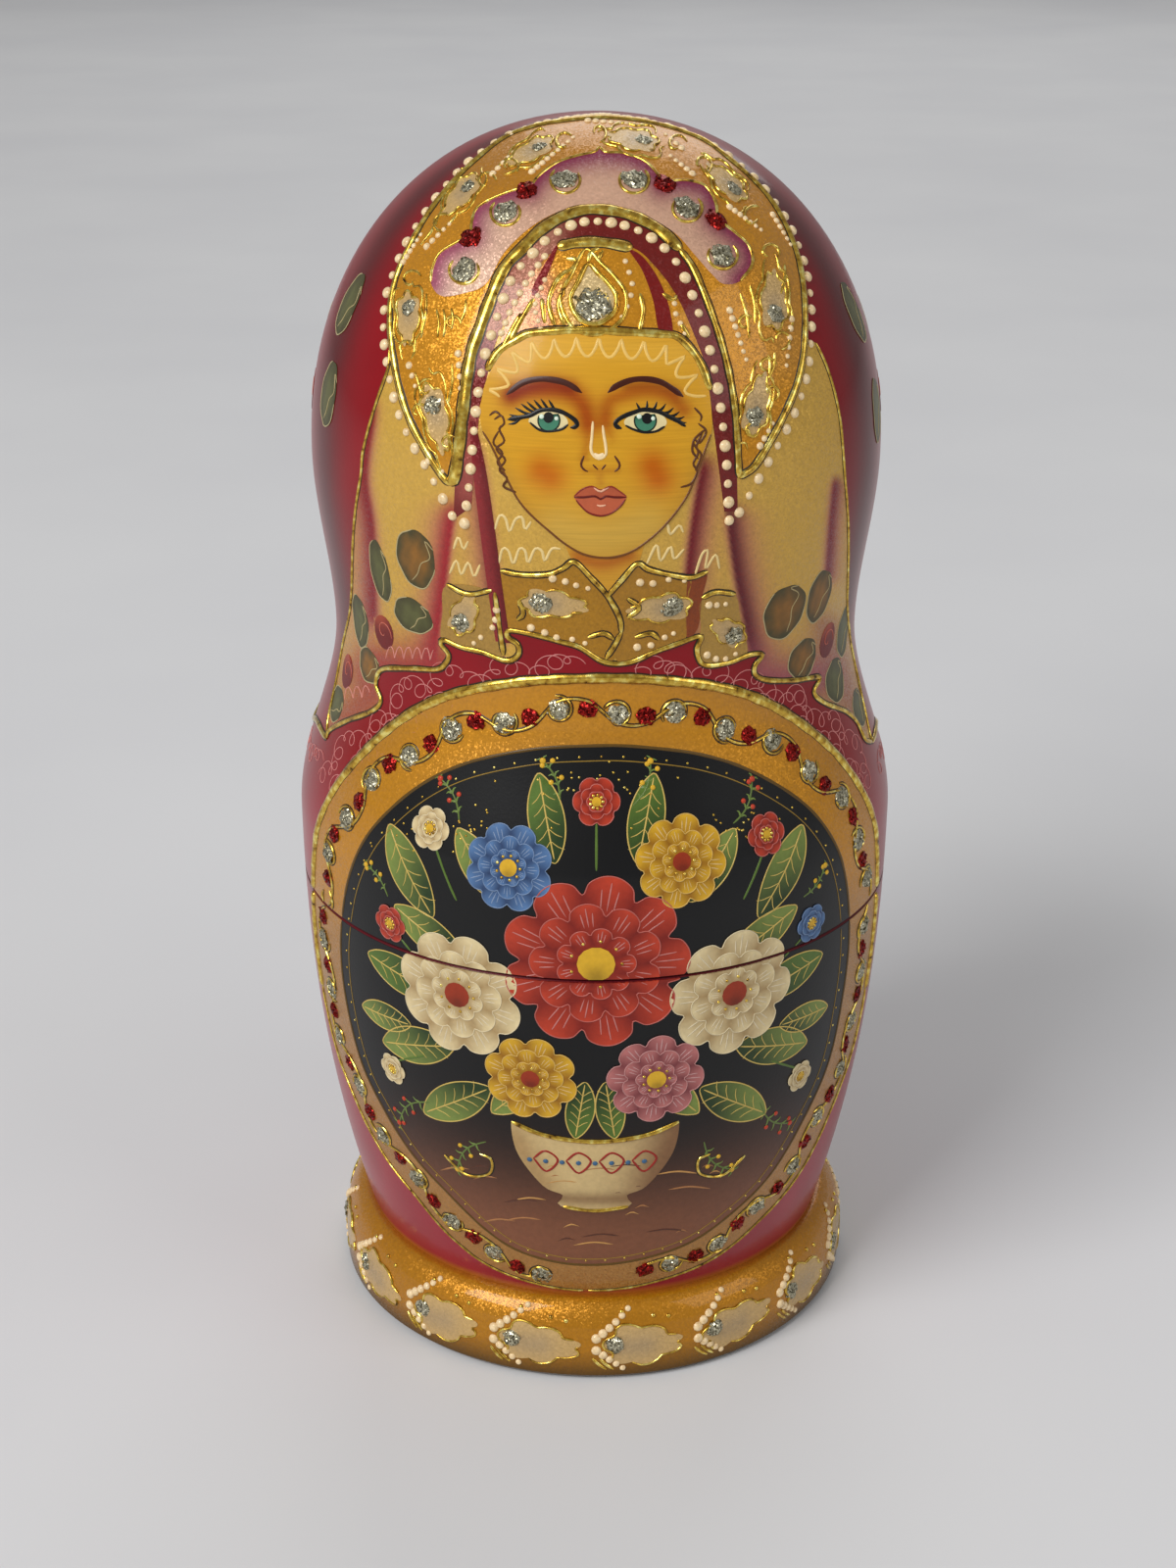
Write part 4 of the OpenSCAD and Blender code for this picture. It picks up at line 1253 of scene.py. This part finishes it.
class Finish:
    """A procedural material. Coordinates are the piece's own, in metres."""

    def __init__(self, name, roughness, metallic=0.0, coat=(0.0, 0.1), specular=0.25):
        self.material = bpy.data.materials.new(name)
        self.material.use_nodes = True
        self.tree = self.material.node_tree
        self.surface = self.tree.nodes["Principled BSDF"]
        self.put(self.surface, {"Roughness": roughness, "Metallic": metallic, "Coat Weight": coat[0],
                                "Coat Roughness": coat[1], "Specular IOR Level": specular})
        self.place = self.node("ShaderNodeTexCoord").outputs["Object"]

    def put(self, node, sockets):
        for key, value in sockets.items():
            if isinstance(value, bpy.types.NodeSocket):
                self.tree.links.new(value, node.inputs[key])
            else:
                node.inputs[key].default_value = value

    def node(self, kind, sockets=None, **settings):
        node = self.tree.nodes.new(kind)
        for key, value in settings.items():
            setattr(node, key, value)
        self.put(node, sockets or {})
        return node

    def noise(self, scale, detail=3.0, place=None):
        sockets = {"Vector": place or self.place, "Scale": scale, "Detail": detail}
        return self.node("ShaderNodeTexNoise", sockets).outputs["Fac"]

    def ramp(self, share, *stops):
        node = self.node("ShaderNodeValToRGB", {"Fac": share})
        for k, (at, colour) in enumerate(stops):
            stop = node.color_ramp.elements[k] if k < 2 else node.color_ramp.elements.new(at)
            stop.position = at
            stop.color = (*colour, 1)
        return node.outputs["Color"]

    def times(self, a, b):
        sockets = {"Factor": 1, 6: a, 7: b}
        return self.node("ShaderNodeMix", sockets, data_type="RGBA", blend_type="MULTIPLY").outputs[2]

    def stretched(self, scale):
        """Coordinates scaled by a different amount along each axis."""
        return self.node("ShaderNodeMapping", {"Vector": self.place, "Scale": scale}).outputs["Vector"]

    def vectors(self, operation, sockets):
        return self.node("ShaderNodeVectorMath", sockets, operation=operation).outputs[0]

    def colour(self, socket):
        self.put(self.surface, {"Base Color": socket})

    def painted(self, scale, low, place=None):
        """The mesh's own paint colours, mottled by noise."""
        paint = self.node("ShaderNodeAttribute", attribute_name="paint").outputs["Color"]
        grey = self.ramp(self.noise(scale, 3.0, place), (0.3, (low,) * 3), (0.7, (1.0,) * 3))
        self.colour(self.times(paint, grey))

    def rough_grain(self, scale, depth, place=None):
        sockets = {"Height": self.noise(scale, 2.0, place), "Distance": depth, "Strength": 0.5}
        self.put(self.surface, {"Normal": self.node("ShaderNodeBump", sockets).outputs["Normal"]})

    def flakes(self, scale, tilt):
        """Small flakes, each turned its own way."""
        cells = self.node("ShaderNodeTexVoronoi", {"Vector": self.place, "Scale": scale}).outputs["Color"]
        normal = self.node("ShaderNodeNewGeometry").outputs["Normal"]
        lean = self.vectors("SUBTRACT", {0: cells, 1: (0.5, 0.5, 0.5)})
        lean = self.vectors("SCALE", {0: lean, "Scale": tilt})
        lean = self.vectors("ADD", {0: normal, 1: lean})
        self.put(self.surface, {"Normal": self.vectors("NORMALIZE", {0: lean})})
        return cells


def make_finishes():
    """All materials of the doll, by name."""
    done = {}

    def new(name, *args, **settings):
        finish = Finish(name, *args, **settings)
        done[name] = finish.material
        return finish

    f = new("lacquer", 0.3, coat=(0.25, 0.1), specular=0.15)
    f.painted(90, 0.84)
    f.rough_grain(1500, 2e-5)
    f = new("paint", 0.42, coat=(0.15, 0.1))
    f.painted(1100, 0.86)
    f.rough_grain(2200, 3e-5)
    f = new("skin", 0.4, coat=(0.2, 0.12), specular=0.12)
    rings = f.stretched((120, 120, 3800))
    f.painted(1.0, 0.86, rings)
    f.rough_grain(1.0, 1.5e-5, rings)
    f = new("pearl", 0.36, metallic=0.2, coat=(0.35, 0.08))
    f.painted(1600, 0.86)
    f.flakes(4200, 0.4)
    f = new("bronze", 0.34, metallic=0.4, coat=(0.35, 0.07))
    f.painted(1900, 0.84)
    f.flakes(4400, 0.34)
    f = new("gold", 0.24, metallic=0.9, coat=(0.3, 0.1))
    f.colour(f.ramp(f.noise(900), (0.28, rgb(84, 58, 10)), (0.36, rgb(176, 134, 42)),
                    (0.54, rgb(216, 180, 70)), (0.72, rgb(252, 238, 142))))
    f.rough_grain(1200, 4e-5)
    f = new("white", 0.36, coat=(0.5, 0.1))
    f.colour(f.ramp(f.noise(1500), (0.3, rgb(214, 182, 132)), (0.6, rgb(240, 214, 168))))
    f.rough_grain(1500, 4e-5)
    glitters = (("silver", rgb(96, 90, 70), rgb(218, 212, 184)), ("red", rgb(56, 2, 4), rgb(172, 36, 30)))
    for name, dull, bright in glitters:
        f = new(name, 0.28, metallic=0.8)
        f.colour(f.ramp(f.flakes(3600, 0.9), (0.2, dull), (0.8, bright)))
    f = new("wood", 0.55)
    long_grain = f.stretched((900, 900, 30))
    f.colour(f.ramp(f.noise(1.0, 4.0, long_grain), (0.3, rgb(196, 160, 108)), (0.7, rgb(228, 198, 150))))
    f.rough_grain(1.0, 5e-5, long_grain)
    return done


FINISHES = make_finishes()


def make_piece(name, points, faces, colours, finishes, body, sharp):
    """A mesh object on a body. Finishes holds the name of each face's material."""
    mesh = bpy.data.meshes.new(name)
    mesh.from_pydata((points * MM).tolist(), [], faces)
    used = sorted(set(finishes))
    for finish in used:
        mesh.materials.append(FINISHES[finish])
    number = {finish: k for k, finish in enumerate(used)}
    mesh.polygons.foreach_set("material_index", np.array([number[f] for f in finishes], dtype=np.int32))
    mesh.polygons.foreach_set("use_smooth", np.ones(len(faces), bool))
    paint = mesh.attributes.new("paint", "FLOAT_COLOR", "POINT")
    opaque = np.hstack([colours, np.ones((len(points), 1))])
    paint.data.foreach_set("color", opaque.astype(np.float32).ravel())
    mesh.set_sharp_from_angle(angle=sharp)
    mesh.update()
    piece = bpy.data.objects.new(name, mesh)
    bpy.context.scene.collection.objects.link(piece)
    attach(piece, body)
    return piece


def graded(first, last, i):
    """A size that falls evenly from the largest hollow doll to the smallest."""
    return first * (last / first) ** (i / (HOLLOW_DOLLS - 1))


class Doll:
    """Place and wall sizes of doll i, in millimetres."""

    def __init__(self, i):
        solid = i == HOLLOW_DOLLS
        self.number = i + 1
        upper, lower = ("solid", "solid") if solid else ("upper", "lower")
        self.nodes = {"upper": f"doll_{i + 1}_{upper}", "lower": f"doll_{i + 1}_{lower}"}
        self.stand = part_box(self.nodes["lower"])[0][2] / MM
        self.size = (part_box(self.nodes["upper"])[1][2] / MM - self.stand) / DOLL_H
        self.fine = i == 0
        self.wall, self.floor, self.crown = graded(*WALL, i), graded(*FLOOR, i), graded(*CROWN, i)
        self.skirt, self.spigot, self.chamfer = graded(*SKIRT, i), graded(*SPIGOT, i), graded(*CHAMFER, i)
        if not solid:
            inner_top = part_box(f"doll_{i + 2}_" + ("solid" if i + 1 == HOLLOW_DOLLS else "upper"))[1][2] / MM
            self.inner_size = (inner_top - self.stand - self.floor - STAND_GAP) / DOLL_H

    def outer(self, low, high, count):
        """Outline between two heights of the outer doll, at this doll's size."""
        z = np.linspace(low, high, count)
        return np.stack([radius(z), z], 1) * self.size

    def dome(self):
        a = np.linspace(0, math.pi / 2, 36 if self.fine else 16)[:-1]
        power = 2 / CROWN_FULLNESS
        z = HEAD_Z + (DOLL_H - HEAD_Z) * np.sin(a) ** power
        return np.stack([HEAD_R * np.cos(a) ** power, z], 1) * self.size

    def flange(self):
        a = np.linspace(0, math.pi / 2, 14 if self.fine else 8)
        z = BASE_EDGE_H + (BASE_H - BASE_EDGE_H) * np.sin(a)
        curve = np.stack([FOOT_R + (BASE_R - FOOT_R) * np.cos(a), z], 1)
        return np.vstack([[(0, 0), (BASE_R - BASE_CHAMFER, 0), (BASE_R, BASE_CHAMFER)], curve]) * self.size

    def lower_profile(self):
        """Points from the underside up the outside and down to the floor, and a finish for each stretch."""
        s, c, seam = self.size, self.chamfer, SEAM_Z * self.size
        seam_r = float(radius(SEAM_Z)) * s
        spigot_r, top = seam_r - self.skirt - SPIGOT_GAP, seam + self.spigot
        flange, body = self.flange(), self.outer(BASE_H, SEAM_Z - c / s, 48 if self.fine else 20)[1:]
        step = max(BASE_H, self.floor / s)
        cavity = self.outer(SEAM_Z, step + 0.001, 14) - (self.wall, 0)
        joint = [(seam_r - c, seam), (spigot_r, seam), (spigot_r, top - c), (spigot_r - c, top),
                 (seam_r - self.wall, top)]
        floor = [(cavity[-1][0], self.floor), (0, self.floor)]
        points = np.vstack([flange, body, joint, cavity, floor])
        finishes = ["wood"] + ["bronze"] * (len(flange) - 2) + ["lacquer"] * (len(body) + 1)
        return points, finishes + ["wood"] * (len(points) - 1 - len(finishes))

    def upper_profile(self):
        """Points from the crown down the outside and up the inside, and a finish for each stretch."""
        s, c, seam = self.size, self.chamfer, SEAM_Z * self.size
        seam_r = float(radius(SEAM_Z)) * s
        socket_r, socket_top = seam_r - self.skirt, seam + self.spigot + SPIGOT_END_GAP
        body = self.outer(HEAD_Z, SEAM_Z + c / s, 80 if self.fine else 34)
        socket = [(seam_r - c, seam), (socket_r, seam), (socket_r, socket_top)]
        outside = np.vstack([[(0, DOLL_H * s)], self.dome()[1:][::-1], body, socket])
        vault_r, crown_z = NECK_R * s - self.wall, DOLL_H * s - self.crown
        cavity = self.outer(socket_top / s, NECK_Z, 14) - (self.wall, 0)
        vault_z = max(NECK_Z * s, self.floor + STAND_GAP + HEAD_Z * self.inner_size)
        a = np.linspace(0, math.pi / 2, 12)
        vault = np.stack([vault_r * np.cos(a), vault_z + (crown_z - vault_z) * np.sin(a)], 1)
        vault[-1, 0] = 0
        points = np.vstack([outside, cavity, vault if vault_z > NECK_Z * s + 0.01 else vault[1:]])
        finishes = ["lacquer"] * (len(outside) - 3)
        return points, finishes + ["wood"] * (len(points) - 1 - len(finishes))

    def solid_profile(self):
        flange = self.flange()
        body = self.outer(BASE_H, HEAD_Z, 50)[1:]
        points = np.vstack([flange, body, self.dome()[1:], [(0, DOLL_H * self.size)]])
        finishes = ["wood"] + ["bronze"] * (len(flange) - 2)
        return points, finishes + ["lacquer"] * (len(points) - 1 - len(finishes))


def shell_colour(angle, z):
    """Lacquer colour of the bare doll: crimson hood, red dress, rose body, gold base, with painted shade along
    the parting line and at the foot of the base.
    """
    from_front = np.abs((angle + math.pi) % (2 * math.pi) - math.pi)
    hem = 114 - 12 * eased((from_front - 1.2) / 0.25)
    hood = CRIMSON + 0.75 * np.exp(-((from_front - 1.18) / 0.16) ** 2)[:, None] * (DEEP_RED - CRIMSON)
    dress = DRESS_RED + eased((106 - z) / 22)[:, None] * (ROSE_RED - DRESS_RED)
    above = eased((z - hem) / 1.4 + 0.5)[:, None]
    out = dress * (1 - above) + hood * above
    # Painted shade: the lacquer is darkened in a narrow band along the parting line, where the two halves
    # meet.
    dark = np.exp(-((z - SEAM_Z) / 0.5) ** 2)[:, None]
    out = out * (1 - 0.85 * dark)
    # Painted shade at the foot: the base turns dark brown below about 1.6 mm, where it meets the floor.
    base = eased((BASE_H + 0.3 - z) / 0.5)[:, None]
    edge = eased((1.6 - z) / 0.8)[:, None]
    return out * (1 - base) + base * (rgb(186, 124, 16) * (1 - edge) + rgb(58, 42, 14) * edge)


def turned(doll, half, profile, finishes):
    """A closed turned shell from a profile that starts and ends on the axis."""
    count = 224 if doll.fine else 96
    angle = round_turn(count)
    rings = profile[1:-1]
    points = np.stack([np.outer(rings[:, 0], np.sin(angle)), -np.outer(rings[:, 0], np.cos(angle)),
                       np.repeat(rings[:, 1:], count, 1)], -1).reshape(-1, 3)
    colours = shell_colour(np.tile(angle, len(rings)), np.repeat(rings[:, 1] / doll.size, count))
    ends = np.array([(0, 0, profile[0, 1]), (0, 0, profile[-1, 1])])
    points = np.vstack([points, ends]) + (0, 0, doll.stand)
    colours = np.vstack([colours, shell_colour(np.zeros(2), ends[:, 2] / doll.size)])
    total = len(rings) * count
    faces = band_faces(len(rings), count) + [f[::-1] for f in fan_faces(0, count, total)]
    faces += fan_faces(total - count, count, total + 1)
    names = [f for f in finishes[1:-1] + [finishes[0], finishes[-1]] for _ in range(count)]
    if half == "upper":
        faces = [f[::-1] for f in faces]
    node = doll.nodes[half]
    piece = make_piece(f"{node}_shell", points, faces, colours, names, node, 0.5)
    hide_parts(node)


def decorate(doll, painting):
    """Puts a painting on a doll: a piece for each section on the outer doll, one for each half inside."""
    groups = {}
    for (half, section), layer in painting.layers.items():
        name = f"{doll.nodes[half]}_{section}" if doll.fine else f"doll_{doll.number}_{half}_painting"
        groups.setdefault((name, doll.nodes[half]), []).append(layer)
    for (name, node), layers in groups.items():
        points = np.vstack([np.vstack(l.points) for l in layers])
        colours = np.vstack([np.vstack(l.colours) for l in layers])
        faces, finishes, start = [], [], 0
        for l in layers:
            faces += [tuple(i + start for i in f) for f in l.faces] if start else l.faces
            finishes += l.finishes
            start += l.count
        points = points * doll.size + (0, 0, doll.stand)
        make_piece(name, points, faces, colours, finishes, node, 1.2)


fine, coarse = whole_painting(1.0), whole_painting(2.4)
for i in range(HOLLOW_DOLLS + 1):
    doll = Doll(i)
    if i < HOLLOW_DOLLS:
        turned(doll, "lower", *doll.lower_profile())
        turned(doll, "upper", *doll.upper_profile())
    else:
        turned(doll, "lower", *doll.solid_profile())
    decorate(doll, fine if i == 0 else coarse)


def stage():
    """Pale floor, soft lights and the camera."""
    floor_finish = Finish("floor_grey", 0.6)
    floor_finish.colour(floor_finish.ramp(
        floor_finish.noise(6.0), (0.3, rgb(212, 212, 214)), (0.7, rgb(218, 218, 219))))
    mesh = bpy.data.meshes.new("floor")
    mesh.from_pydata([(-8, -8, 0), (8, -8, 0), (8, 8, 0), (-8, 8, 0)], [], [(0, 1, 2, 3)])
    mesh.materials.append(floor_finish.material)
    floor = bpy.data.objects.new("floor", mesh)
    bpy.context.scene.collection.objects.link(floor)
    world = bpy.data.worlds.new("pale_room")
    world.use_nodes = True
    background = world.node_tree.nodes["Background"]
    background.inputs["Color"].default_value = (1, 1, 1, 1)
    background.inputs["Strength"].default_value = 0.3
    bpy.context.scene.world = world
    lamps = (("key", (-1.25, -1.3, 1.5), 1.2, 41.0), ("fill", (1.6, -0.9, 1.1), 1.2, 8.0),
             ("back", (0.3, 2.2, 1.6), 1.6, 13.0))
    for name, place, size, power in lamps:
        lamp = bpy.data.lights.new(name, "AREA")
        lamp.size, lamp.energy = size, power
        holder = bpy.data.objects.new(name, lamp)
        aim = Vector((0, 0, 0.1)) - Vector(place)
        holder.matrix_world = Matrix.Translation(place) @ aim.to_track_quat("-Z", "Y").to_matrix().to_4x4()
        bpy.context.scene.collection.objects.link(holder)
    data = bpy.data.cameras.new("camera")
    data.sensor_fit, data.sensor_height = "VERTICAL", 24.0
    data.lens = FOCAL_PX / PICTURE_H * data.sensor_height
    data.clip_start = 0.01
    camera = bpy.data.objects.new("camera", data)
    turn = Matrix(np.stack([RIGHT, UP, -FORWARD], 1).tolist()).to_4x4()
    camera.matrix_world = Matrix.Translation(EYE * MM) @ turn
    bpy.context.scene.collection.objects.link(camera)
    bpy.context.scene.camera = camera
    bpy.context.scene.view_settings.view_transform = "Standard"


stage()
